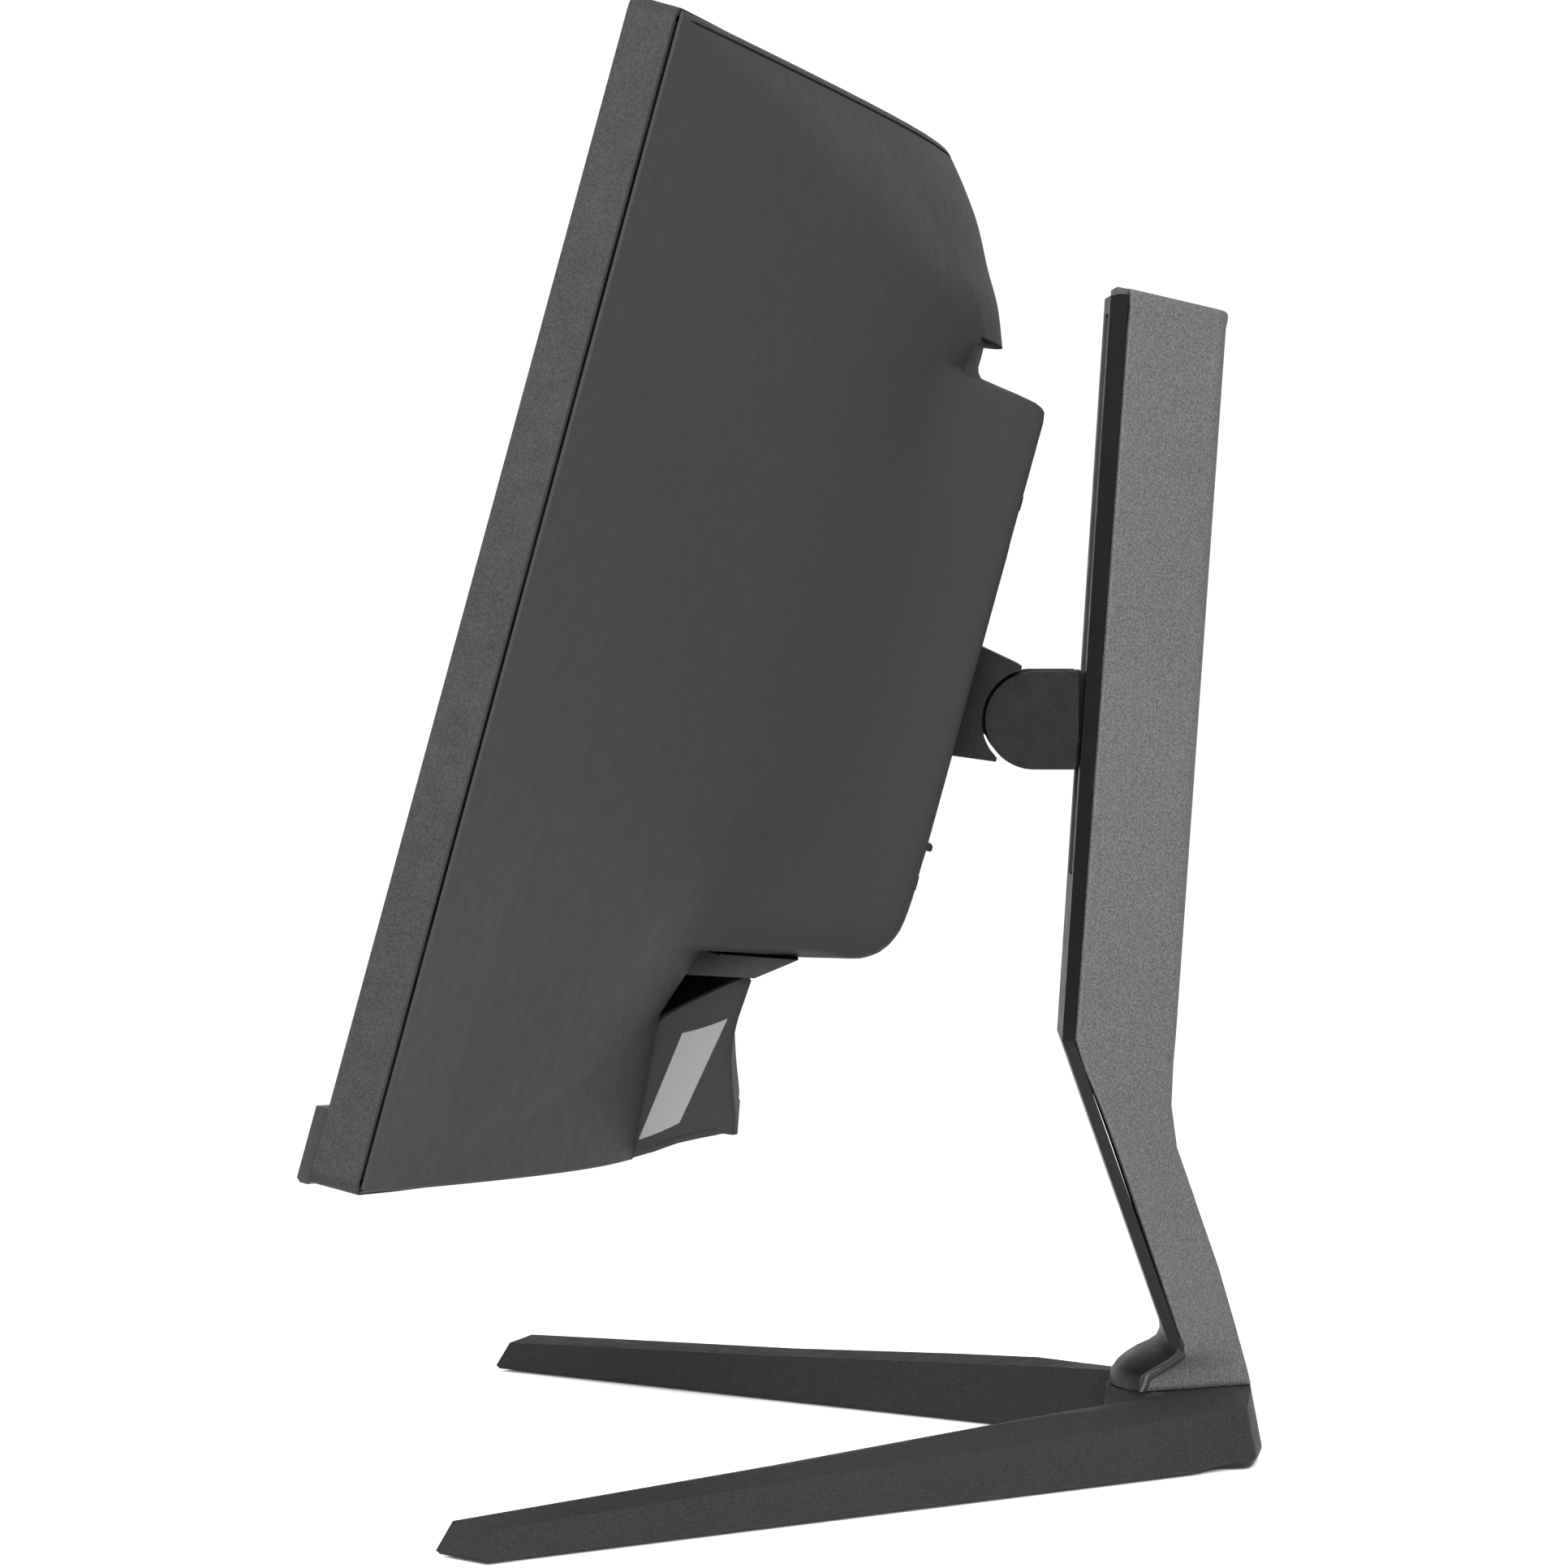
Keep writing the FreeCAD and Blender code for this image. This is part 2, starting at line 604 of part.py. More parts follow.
ring_centre = -root(
    dim("frame_radius") * dim("frame_radius") - dim("frame_half") * dim("frame_half"))
frame_back = dim("frame_radius") + dim("frame_deep")


def curved(name, inner, thick, half, low, high):
    """A sheet bent to the curve of the screen."""
    piece = Piece(name, "head")
    piece.pad("XY", low, high, lambda outline: outline.band(inner, inner + thick, ring_centre, half))
    return add(name, piece)


tall = dim("frame_half_tall")
border = dim("frame_border")
mid_frame = curved("mid_frame", dim("frame_radius"), dim("frame_deep"), dim("frame_half"), -tall, tall)
mid_frame.cut("XY", border - tall, tall - border, lambda outline: outline.band(
    dim("frame_radius") - 3, frame_back + 3, ring_centre, dim("frame_half") - border))
mid_frame.cut("XY", -tall - 1, -tall + 4, lambda outline: (
    outline.circle(0, 63.5, 4.4), outline.box(17.7, 30.3, 60.2, 66.8)))
mid_frame.soften(dim("frame_corner"), lambda edge: abs(abs(middle(edge).x) - 408) < 3
                 and abs(abs(middle(edge).z) - 182.6) < 0.1 and 10 < edge.BoundBox.YLength)

inside_half = dim("frame_half") - border - 0.15
inside_tall = tall - border - 0.15
glass = curved("lcd_panel", dim("frame_radius") + 0.3, dim("glass_thick"),
               inside_half, -inside_tall, inside_tall)
backlight = curved("backlight_unit", dim("frame_radius") + 2.4, dim("backlight_thick"),
                   inside_half - 1, 1 - inside_tall, inside_tall - 1)
chassis = curved("panel_chassis", dim("frame_radius") + 10.0, dim("chassis_thick"),
                 inside_half - 2, 2 - inside_tall, inside_tall - 2)
chin = curved("bottom_chin", dim("frame_radius") - 4.8, 4.7, dim("frame_half") - 4, -tall - 0.8, -160)
chin.soften(1.2, lambda edge: middle(edge).z < -183 and edge.Length > 300 and middle(edge).y < 54, "Chamfer")
lens = Piece("power_led_lens", "head")
lens.pad("XY", -tall - 1.6, -tall - 0.85, lambda outline: outline.box(-6, 6, 52.4, 54.4))
add("power_led_lens", lens)


def spread(across):
    """How far out a station is, easing to nothing at the middle."""
    soft = dim("cover_soft")
    return root(as_size(across * across) + soft * soft) - soft


cover_tall = dim("cover_half_tall")
END_LEVEL = 16.4
END_SPREAD = spread(DIMENSIONS["cover_half"])


def fall(crown, across):
    """Depth of the cover behind the screen plane, from its crown out to its thin ends."""
    return crown - (crown - END_LEVEL) * spread(across) / END_SPREAD


def slope_top(across):
    return dim("crown_top") + 0.21 * spread(across)


def cover_profile(across):
    """Corners of the cover's rear face at one station, from the top rim down to the bottom rim."""
    return [
        (fall(dim("rim_top"), across), cover_tall),
        (fall(dim("crown"), across), slope_top(across)),
        (fall(dim("waist"), across), as_size(10.0)),
        (fall(dim("shoulder"), across), as_size(-89.0 - 0.2 * abs(across))),
        (fall(dim("crease"), across), as_size(-115.0 - 0.165 * abs(across))),
        (fall(dim("rim_bottom"), across), -cover_tall),
    ]


def cover_section(across, wall=0.0):
    """Side-view outline of the rear cover at one station."""
    radius = frame_back + 0.3
    front = root(radius * radius - across * across) + ring_centre
    if wall:
        front = front - 2
    corners = cover_profile(across)
    rear = [(back - wall, up) for back, up in corners[1:-1]]
    top_edge = (corners[0][0] - wall, cover_tall - wall)
    low_edge = (corners[-1][0] - wall, wall - cover_tall)
    return lambda outline: outline.polygon(
        [(front, cover_tall - wall), top_edge] + rear + [low_edge, (front, wall - cover_tall)])


def both_sides(stations):
    """Stations from the left end to the right end, mirrored about the middle."""
    return [-station for station in reversed(stations)] + [0] + list(stations)


rear_cover = Piece("rear_cover", "head")
rear_cover.loft("Additive", "YZ", [
    (station, cover_section(station)) for station in both_sides((48, 96, 144, 210, 280, 345, 404))
], False)
rear_cover.loft("Subtractive", "YZ", [
    (station, cover_section(station, 2.6)) for station in both_sides((48, 96, 144, 210, 270, 325))
], False)
window = dim("housing_half")
rear_cover.cut("XZ", 74, 160, lambda outline: outline.box(
    -window, window, dim("tray_top"), dim("housing_top")))
rear_cover.cut("XZ", dim("tray_floor"), 160, lambda outline: outline.box(
    -dim("skirt_half"), dim("skirt_half"), -cover_tall - 1, dim("tray_top")))
add("rear_cover", rear_cover)


def cowl_section(across):
    """Section of the raised cowl that lies over the top slope of the cover."""
    reach = across * across / (144.0 * 144.0)
    low = dim("crown_top") + 1.2 + 60 * reach
    rim = fall(dim("rim_top"), across)
    crown = fall(dim("crown"), across)
    lean = (crown - rim) / (cover_tall - slope_top(across))
    foot_y = rim + lean * (cover_tall - low)
    thick = dim("cowl_lift") + 3.4 * (1 - reach)
    return lambda outline: outline.polygon([
        (rim + 0.5, cover_tall), (rim + 0.9, cover_tall + 0.6),
        (foot_y + thick, low + 5.4), (foot_y + thick - 1.4, low), (foot_y + 0.5, low),
    ])


top_cowl = Piece("top_cowl", "head")
top_cowl.loft("Additive", "YZ", [
    (station, cowl_section(station)) for station in both_sides((48, 96, 134))
], False)
add("top_cowl", top_cowl)

housing = Piece("stand_housing", "head")
top = dim("housing_top")
bottom = dim("housing_bottom")
rear = dim("housing_rear")
seat = dim("housing_seat")
housing.pad("YZ", 0.4 - window, window - 0.4, lambda outline: outline.polygon([
    (seat, top - 0.4), (rear - 5, top), (rear, top - 4), (rear, bottom + 15),
    (rear - 11, bottom + 2.5), (rear - 18, bottom + 0.6), (130, bottom - 3.6), (104, bottom - 8.3),
    (100, bottom - 8.3), (100, bottom + 27), (seat, bottom + 77),
]))
for side in (1, -1):
    housing.cut("XY", -120, 120, lambda outline: outline.polygon([
        (side * (window - 0.4), seat + 12), (side * dim("housing_rear_half"), rear + 0.1),
        (side * 90, rear + 1), (side * 90, seat + 12),
    ]))
housing.cut("XZ", 98, rear - dim("housing_wall"), lambda outline: outline.box(-62, 62, -80, 99))
housing.cut("XZ", rear - 4, rear + 1, lambda outline: outline.box(-57.4, 57.4, -58.9, 55.9))


def cover_screw_spots(radius):
    """The four places where the housing is screwed down."""
    return lambda outline: [
        outline.circle(side * 61.7, up, radius) for side in (1, -1) for up in (-66, 70)
    ]


housing.cut("XZ", rear - 1.05, rear + 1, cover_screw_spots(2.7))
add("stand_housing", housing)

mount_plate = Piece("mount_plate", "head")
mount_plate.pad("XZ", rear - 2.3, rear + 0.4, lambda outline: outline.box(-57, 57, -58.5, 55.5))
mount_plate.soften(5, lambda edge: abs(abs(middle(edge).x) - 57) < 0.1 and along(edge, Y_AXIS))
half_pitch = dim("hole_pitch") / 2


def mounting_holes(outline):
    for across in (half_pitch, -half_pitch):
        for up in (half_pitch - 1.5, -half_pitch - 1.5):
            outline.circle(across, up, 2.0)


mount_plate.cut("XZ", 150, 170, mounting_holes)
mount_plate.cut("XZ", 150, 170, lambda outline: outline.box(-7.4, 7.4, -57.1, -53.8))
add("mount_plate", mount_plate)

bracket = Piece("tilt_bracket", "head")
hinge_back = dim("hinge_back")
hinge_up = dim("hinge_drop")
bracket.pad("YZ", -dim("bracket_half"), dim("bracket_half"), lambda outline: outline.polygon([
    (rear + 0.45, dim("bracket_bottom")), (rear + 0.45, dim("bracket_top")),
    (dim("bracket_rear"), dim("bracket_top") - 2.9), (dim("bracket_rear"), -dim("bracket_top") - 0.9),
]))
bracket.cut("YZ", -30, 30, lambda outline: outline.circle(
    hinge_back, hinge_up, dim("barrel_radius") + dim("barrel_gap")))
bracket.pad("YZ", -dim("lug_half"), dim("lug_half"), lambda outline: outline.polygon([
    (rear + 2, hinge_up - 10), (rear + 2, hinge_up + 10), (hinge_back - 3, hinge_up + 9),
    (hinge_back + 4, hinge_up + 8), (hinge_back + 9, hinge_up + 3), (hinge_back + 9, hinge_up - 3),
    (hinge_back + 4, hinge_up - 8), (hinge_back - 3, hinge_up - 9),
]))
bracket.cut("YZ", -30, 30, lambda outline: outline.circle(
    hinge_back, hinge_up, dim("pin_radius") + dim("run_gap")))
add("tilt_bracket", bracket)

button = Piece("release_button", "head")
button.pad("XZ", rear - 5.0, rear + 4.0, lambda outline: outline.box(-7, 7, -56.7, -54.2))
button.soften(0.8, lambda edge: middle(edge).y > 166.1 and edge.Length > 2)
add("release_button", button)

skirt = Piece("lower_skirt", "head")
side_half = dim("skirt_half") - 0.4
tray = dim("tray_floor")
skirt.pad("YZ", -side_half, side_half, lambda outline: outline.polygon([
    (tray + 0.3, -178), (tray + 0.3, -133), (104, -124), (115, -116.5), (116.8, -112.5), (115, -127),
    (115.6, -136), (118.7, -147.5), (124.4, -163), (125.6, -167), (125.4, -168), (122.5, -169),
    (107.5, -172.5), (97, -177.5),
]))
for side in (1, -1):
    skirt.cut("XY", -200, -100, lambda outline: outline.polygon([
        (side * 90, 88), (side * 70, 128), (side * 95, 128), (side * 95, 88),
    ]))
skirt.cut("YZ", -72, 72, lambda outline: outline.polygon([(85, -127), (120, -127), (120, -105), (85, -105)]))
skirt.cut("YZ", -62, 62, lambda outline: outline.polygon([
    (89, -168), (89, -126), (111, -126), (113.5, -150), (114.5, -163), (106, -168),
]))
add("lower_skirt", skirt)

for side, name in ((1, "right_accent_panel"), (-1, "left_accent_panel")):
    panel = Piece(name, "head")
    low, high = (60, 92) if side == 1 else (-92, -60)
    panel.pad("YZ", low, high, lambda outline: outline.polygon([
        (95, -134.5), (111.5, -127.5), (108.5, -163), (93, -174.5),
    ]))
    panel.cut("XY", -200, -100, lambda outline: outline.polygon([
        (side * 90.05, 88), (side * 70.05, 128), (side * 50, 128), (side * 50, 88),
    ]))
    panel.cut("XY", -200, -100, lambda outline: outline.polygon([
        (side * 91.1, 88), (side * 71.1, 128), (side * 95, 128), (side * 95, 88),
    ]))
    add(name, panel)

# The shelf with the sockets: they face down, over the open top of the skirt.
io_panel = Piece("io_panel", "ports")
io_panel.pad("YZ", -84, 84, lambda outline: outline.polygon([
    (-11.8, 0), (19.0, 0), (33.6, 7.1), (8.1, 7.6), (-9.4, 11.1),
]))
io_panel.cut("YZ", -81.8, 81.8, lambda outline: outline.polygon([
    (-14, 2.4), (18.2, 2.4), (29.5, 7.8), (29.5, 14), (-14, 14),
]))
SOCKETS = (
    # name, width, height, positions along the shelf
    ("power_inlet", 14.0, 11.0, (-62,)),
    ("display_sockets", 15.4, 5.4, (-36, -12)),
    ("display_port_socket", 17.0, 5.6, (12,)),
    ("usb_sockets", 13.6, 6.2, (34, 53)),
)
for name, wide, high, places in SOCKETS:
    io_panel.cut("XY", -1, 4, lambda outline: [
        outline.box(place - wide / 2, place + wide / 2, -high / 2, high / 2) for place in places
    ])
io_panel.cut("XY", -1, 4, lambda outline: outline.circle(72, 0, 4))
add("io_panel", io_panel)
for name, wide, high, places in SOCKETS:
    socket = Piece(name, "ports")
    socket.pad("XY", 0.4, 8.6, lambda outline: [
        outline.box(place - wide / 2 + 0.1, place + wide / 2 - 0.1, 0.1 - high / 2, high / 2 - 0.1)
        for place in places
    ])
    socket.cut("XY", 0, 7.4, lambda outline: [
        outline.box(place - wide / 2 + 1.2, place + wide / 2 - 1.2, 1.0 - high / 2, high / 2 - 1.0)
        for place in places
    ])
    add(name, socket)
jack = Piece("audio_jack", "ports")
jack.pad("XY", 0.4, 8.6, lambda outline: outline.circle(72, 0, 3.9))
jack.cut("XY", 0, 7.4, lambda outline: outline.circle(72, 0, 1.8))
add("audio_jack", jack)

for name, left, right, low, high in (
    ("main_board", 4, 74, -94, 40), ("power_board", -74, -4, -94, 60),
):
    board = Piece(name, "head")
    board.pad("XZ", 96, 97.6, lambda outline: outline.box(left, right, low, high))
    board.cut("XZ", 90, 99, lambda outline: [
        outline.circle(across, up, 1.6) for across in (left + 4, right - 4) for up in (low + 4, high - 4)
    ])
    add(name, board)

heat_sink = Piece("heat_sink", "head")
heat_sink.pad("XZ", 97.7, 110, lambda outline: outline.box(22, 58, -50, -14))
for fin in range(6):
    heat_sink.cut("XY", -52, -12, lambda outline: outline.box(24.5 + fin * 5.4, 28.5 + fin * 5.4, 100.4, 112))
add("heat_sink", heat_sink)

capacitors = Piece("power_capacitors", "head")
capacitors.pad("XZ", 97.7, 112, lambda outline: [outline.circle(-54, up, 6) for up in (-60, -42, -24)])
add("power_capacitors", capacitors)

joystick = Piece("menu_joystick", "head")
joystick.pad("XY", -tall - 6.4, -tall + 0.6, lambda outline: outline.circle(0, 63.5, 3.6))
joystick.pad("YZ", -3, 3, lambda outline: outline.circle(63.5, -tall + 1.0, 2.0))
joystick.pad("XY", -tall - 7.6, -tall - 5.2, lambda outline: outline.circle(0, 63.5, 5.0))
joystick.soften(0.9, lambda edge: middle(edge).z < -190 and edge.Length > 20)
add("menu_joystick", joystick)
power_key = Piece("power_key", "head")
power_key.pad("XY", -tall - 1.7, -tall + 2.2, lambda outline: outline.box(18, 30, 60.5, 66.5))
add("power_key", power_key)

cover_screws = Piece("cover_screws", "head")
cover_screws.pad("XZ", rear - 1.0, rear + 0.3, cover_screw_spots(2.6))
add("cover_screws", cover_screws)
plate_screws = Piece("bracket_screws", "head")
plate_screws.pad("XZ", rear + 0.45, rear + 1.3, lambda outline: [
    outline.circle(side * 31, up, 3.2) for side in (1, -1) for up in (-14, 10)
])
add("bracket_screws", plate_screws)

# ---------------------------------------------------------------- check and write

doc.recompute()
for item in doc.Objects:
    if "Invalid" in item.State or "Error" in item.State:
        raise RuntimeError(f"{item.Label} did not build: {item.State}")
os.makedirs("parts", exist_ok=True)
for name, item in OUT.items():
    shape = item.Shape
    if shape.isNull() or not shape.isValid() or shape.Volume < 1:
        raise RuntimeError(f"{name} is not a sound solid")
    shape.exportStep(f"parts/{name}.step")
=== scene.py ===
import json
import math

import bmesh
import bpy
from mathutils import Matrix, Vector

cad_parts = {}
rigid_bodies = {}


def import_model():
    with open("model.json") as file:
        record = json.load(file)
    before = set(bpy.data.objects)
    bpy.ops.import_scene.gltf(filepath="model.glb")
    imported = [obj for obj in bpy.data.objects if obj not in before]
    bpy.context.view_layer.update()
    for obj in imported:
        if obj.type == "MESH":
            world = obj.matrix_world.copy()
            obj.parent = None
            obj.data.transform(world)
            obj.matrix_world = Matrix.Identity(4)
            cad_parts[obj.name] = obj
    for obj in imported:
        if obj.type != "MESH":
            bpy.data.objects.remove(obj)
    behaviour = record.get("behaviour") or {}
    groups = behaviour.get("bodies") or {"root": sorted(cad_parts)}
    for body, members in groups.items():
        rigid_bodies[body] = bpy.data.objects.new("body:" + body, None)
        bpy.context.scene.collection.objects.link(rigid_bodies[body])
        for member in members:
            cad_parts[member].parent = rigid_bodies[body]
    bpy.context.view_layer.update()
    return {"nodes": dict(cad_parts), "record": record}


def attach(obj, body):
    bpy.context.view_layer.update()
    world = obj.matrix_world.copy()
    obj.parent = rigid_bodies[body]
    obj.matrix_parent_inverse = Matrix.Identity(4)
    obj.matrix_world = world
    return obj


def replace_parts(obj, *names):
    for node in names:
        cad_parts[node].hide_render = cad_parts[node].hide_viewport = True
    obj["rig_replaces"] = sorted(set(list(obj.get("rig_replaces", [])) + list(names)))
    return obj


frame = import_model()
nodes = frame["nodes"]
record = frame["record"]
scene = bpy.context.scene

MM = 0.001

# ------------------------------------------------------------ the head's own frame
# X across, Y back from the plane of the side edges, Z up from mid height, in millimetres.

PATTERN_BACK = 162.6
PATTERN_UP = -1.5
pattern = next(mount for mount in record["mounts"] if mount["name"] == "wall_mount_pattern")
backwards = Vector(pattern["axis"]).normalized()
upwards = Vector((0.0, -backwards.z, backwards.y))
head_origin = Vector(pattern["pos_m"]) - backwards * PATTERN_BACK * MM - upwards * PATTERN_UP * MM
HEAD = Matrix((
    (1.0, 0.0, 0.0, head_origin.x),
    (0.0, backwards.y, upwards.y, head_origin.y),
    (0.0, backwards.z, upwards.z, head_origin.z),
    (0.0, 0.0, 0.0, 1.0),
))

# ------------------------------------------------------------ materials


class Surface:
    """A procedural finish: base colour, mottling, specks, edge wear, roughness and bump."""

    def __init__(self, name, base, rough, metallic=0.0, coat=0.0, sheen=0.0, specular=0.5):
        self.material = bpy.data.materials.new(name)
        self.material.use_nodes = True
        self.tree = self.material.node_tree
        self.shader = self.tree.nodes["Principled BSDF"]
        self.base = base
        self.rough = rough
        for socket, value in (
            ("Metallic", metallic), ("Coat Weight", coat), ("Coat Roughness", 0.25),
            ("Sheen Weight", sheen), ("Sheen Roughness", 0.4), ("Specular IOR Level", specular),
        ):
            self.shader.inputs[socket].default_value = value
        self.where = self.tree.nodes.new("ShaderNodeTexCoord").outputs["Object"]

    def stretched(self, scale):
        """Coordinates stretched by a scale on each axis, for brushed metal."""
        mapping = self.tree.nodes.new("ShaderNodeMapping")
        mapping.inputs["Scale"].default_value = scale
        self.tree.links.new(self.where, mapping.inputs["Vector"])
        self.where = mapping.outputs["Vector"]

    def noise(self, scale, detail=3.0):
        node = self.tree.nodes.new("ShaderNodeTexNoise")
        node.inputs["Scale"].default_value = scale
        node.inputs["Detail"].default_value = detail
        self.tree.links.new(self.where, node.inputs["Vector"])
        return node.outputs["Fac"]

    def ranged(self, source, low, high, to_low, to_high):
        node = self.tree.nodes.new("ShaderNodeMapRange")
        for socket, value in zip(("From Min", "From Max", "To Min", "To Max"), (low, high, to_low, to_high)):
            node.inputs[socket].default_value = value
        self.tree.links.new(source, node.inputs["Value"])
        return node.outputs["Result"]

    def combined(self, operation, first, second):
        node = self.tree.nodes.new("ShaderNodeMath")
        node.operation = operation
        for socket, source in zip(node.inputs, (first, second)):
            self.tree.links.new(source, socket)
        return node.outputs["Value"]

    def finish(self, grain, bump, mottle=0.08, speck=0.0, wear=0.12, rough_swing=0.06):
        """Wire the surface: grain is the fine scale per metre, bump its depth in metres."""
        fine = self.noise(grain, 2.0)
        broad = self.noise(9.0, 3.0)
        medium = self.noise(140.0, 3.0)
        level = self.ranged(broad, 0.3, 0.7, 1.0 - mottle, 1.0 + mottle)
        level = self.combined("ADD", level, self.ranged(fine, 0.35, 0.68, -speck * 0.5, speck))
        edges = self.tree.nodes.new("ShaderNodeNewGeometry").outputs["Pointiness"]
        level = self.combined("ADD", level, self.ranged(edges, 0.52, 0.60, 0.0, wear))
        tint = self.tree.nodes.new("ShaderNodeVectorMath")
        tint.operation = "SCALE"
        tint.inputs[0].default_value = self.base
        self.tree.links.new(level, tint.inputs["Scale"])
        self.tree.links.new(tint.outputs["Vector"], self.shader.inputs["Base Color"])
        roughness = self.ranged(medium, 0.3, 0.7, self.rough - rough_swing, self.rough + rough_swing)
        self.tree.links.new(roughness, self.shader.inputs["Roughness"])
        height = self.tree.nodes.new("ShaderNodeBump")
        height.inputs["Strength"].default_value = 1.0
        height.inputs["Distance"].default_value = bump
        self.tree.links.new(fine, height.inputs["Height"])
        self.tree.links.new(height.outputs["Normal"], self.shader.inputs["Normal"])
        return self.material


def grey(level, warm=0.0):
    return (level * (1.0 + warm), level, level * (1.0 - warm))


# slot: colour, roughness, shader extras, grain per metre, bump in metres, finish extras
FINISHES = {
    "textured_black": (grey(0.010), 0.62, {"specular": 0.09}, 1800.0, 0.00016, {"speck": 0.6}),
    "column_sand": (grey(0.038), 0.60, {"specular": 0.2}, 1500.0, 0.00024, {"speck": 0.6}),
    "smooth_black": (grey(0.005), 0.46, {"specular": 0.12, "coat": 0.03}, 2200.0, 0.00002, {}),
    "cover_grey": (grey(0.016), 0.60, {"specular": 0.05}, 2000.0, 0.00007,
                   {"speck": 0.16, "mottle": 0.03, "rough_swing": 0.03}),
    "accent_grey": (grey(0.100), 0.42, {"specular": 0.4}, 2400.0, 0.00002, {"mottle": 0.04}),
    "bracket_black": (grey(0.004), 0.60, {"specular": 0.06}, 1900.0, 0.00014, {"speck": 0.6}),
    "steel": (grey(0.46), 0.36, {"metallic": 1.0}, 1400.0, 0.00002, {"mottle": 0.05}),
    "pad_rubber": (grey(0.022), 0.85, {"sheen": 0.2}, 1200.0, 0.00008, {}),
    "washer_plastic": (grey(0.42, 0.03), 0.50, {}, 1200.0, 0.00002, {}),
    "screen_glass": (grey(0.004), 0.24, {"coat": 0.3}, 4200.0, 0.000003, {"mottle": 0.03, "speck": 0.05}),
    "backlight_white": (grey(0.70), 0.60, {}, 900.0, 0.00003, {}),
    "socket_black": (grey(0.006), 0.52, {"specular": 0.12}, 1600.0, 0.00002, {}),
    "socket_metal": (grey(0.50), 0.30, {"metallic": 1.0}, 1600.0, 0.00002, {}),
    "board_green": ((0.020, 0.085, 0.035), 0.45, {"coat": 0.2}, 700.0, 0.00005, {}),
    "sink_aluminium": (grey(0.55), 0.40, {"metallic": 1.0}, 1500.0, 0.00003, {}),
    "capacitor_sleeve": ((0.030, 0.030, 0.070), 0.35, {}, 1200.0, 0.00002, {}),
    "lens_clear": (grey(0.60), 0.20, {"coat": 0.4}, 900.0, 0.00001, {}),
}
MATERIALS = {}
for slot_name, (base, rough, extras, grain, bump, details) in FINISHES.items():
    surface = Surface(slot_name, base, rough, **extras)
    if extras.get("metallic"):
        surface.stretched((1.0, 1.0, 0.15))
    MATERIALS[slot_name] = surface.finish(grain, bump, **details)

# ------------------------------------------------------------ building pieces


def bevelled(piece, width, segments=3, angle=30.0):
    """Round the edges of a piece with a bevel that keeps its flat faces flat."""
    bevel = piece.modifiers.new("edges", "BEVEL")
    bevel.width = width * MM
    bevel.segments = segments
    bevel.limit_method = "ANGLE"
    bevel.angle_limit = math.radians(angle)
    bevel.harden_normals = True
    bevel.use_clamp_overlap = True


def new_piece(name, corners, faces, place=None, sharp=38.0, outward=None):
    """A mesh piece from corners in millimetres and faces, smooth but for its sharp edges.
    An open sheet is turned so that most of it faces outward."""
    data = bpy.data.meshes.new(name)
    data.from_pydata([tuple(value * MM for value in corner) for corner in corners], [], faces)
    if place is not None:
        data.transform(place)
    shape = bmesh.new()
    shape.from_mesh(data)
    bmesh.ops.remove_doubles(shape, verts=shape.verts, dist=1e-7)
    loose = [vert for vert in shape.verts if not vert.link_faces]
    bmesh.ops.delete(shape, geom=loose, context="VERTS")
    bmesh.ops.recalc_face_normals(shape, faces=shape.faces)
    if outward is not None:
        facing = sum(face.normal.dot(Vector(outward)) * face.calc_area() for face in shape.faces)
        if facing < 0:
            bmesh.ops.reverse_faces(shape, faces=shape.faces)
    shape.to_mesh(data)
    shape.free()
    data.shade_smooth()
    data.set_sharp_from_angle(angle=math.radians(sharp))
    piece = bpy.data.objects.new(name, data)
    scene.collection.objects.link(piece)
    return piece


def keep(piece, body, replaced, slot):
    """Hang a built piece on its body, in place of its design nodes."""
    piece.data.materials.append(MATERIALS[slot])
    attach(piece, body)
    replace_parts(piece, *replaced)
    return piece


def skin(rings, closed=False):
    """Quads between rows of equal length."""
    faces = []
    wide = len(rings[0])
    for row in range(len(rings) - 1):
        for column in range(wide if closed else wide - 1):
            ahead = (column + 1) % wide
            faces.append((row * wide + column, row * wide + ahead,
                          (row + 1) * wide + ahead, (row + 1) * wide + column))
    return [corner for ring in rings for corner in ring], faces


def rounded(points, radii, steps=5):
    """A closed outline with each corner turned into an arc of its own radius."""
    result = []
    count = len(points)
    for index, (point, radius) in enumerate(zip(points, radii)):
        here = Vector(point)
        before = Vector(points[index - 1]) - here
        after = Vector(points[(index + 1) % count]) - here
        if radius <= 0:
            result.append(tuple(here))
            continue
        half = before.angle(after) / 2
        reach = min(radius / math.tan(half), before.length * 0.49, after.length * 0.49)
        start = here + before.normalized() * reach
        stop = here + after.normalized() * reach
        for step in range(steps + 1):
            share = step / steps
            result.append(tuple(start.lerp(here, share).lerp(here.lerp(stop, share), share)))
    return result


def between(stations, where):
    """Values interpolated along (position, values...) stations."""
    if where <= stations[0][0]:
        return stations[0][1:]
    for low, high in zip(stations, stations[1:]):
        if where <= high[0]:
            share = (where - low[0]) / (high[0] - low[0])
            return tuple(a + (b - a) * share for a, b in zip(low[1:], high[1:]))
    return stations[-1][1:]


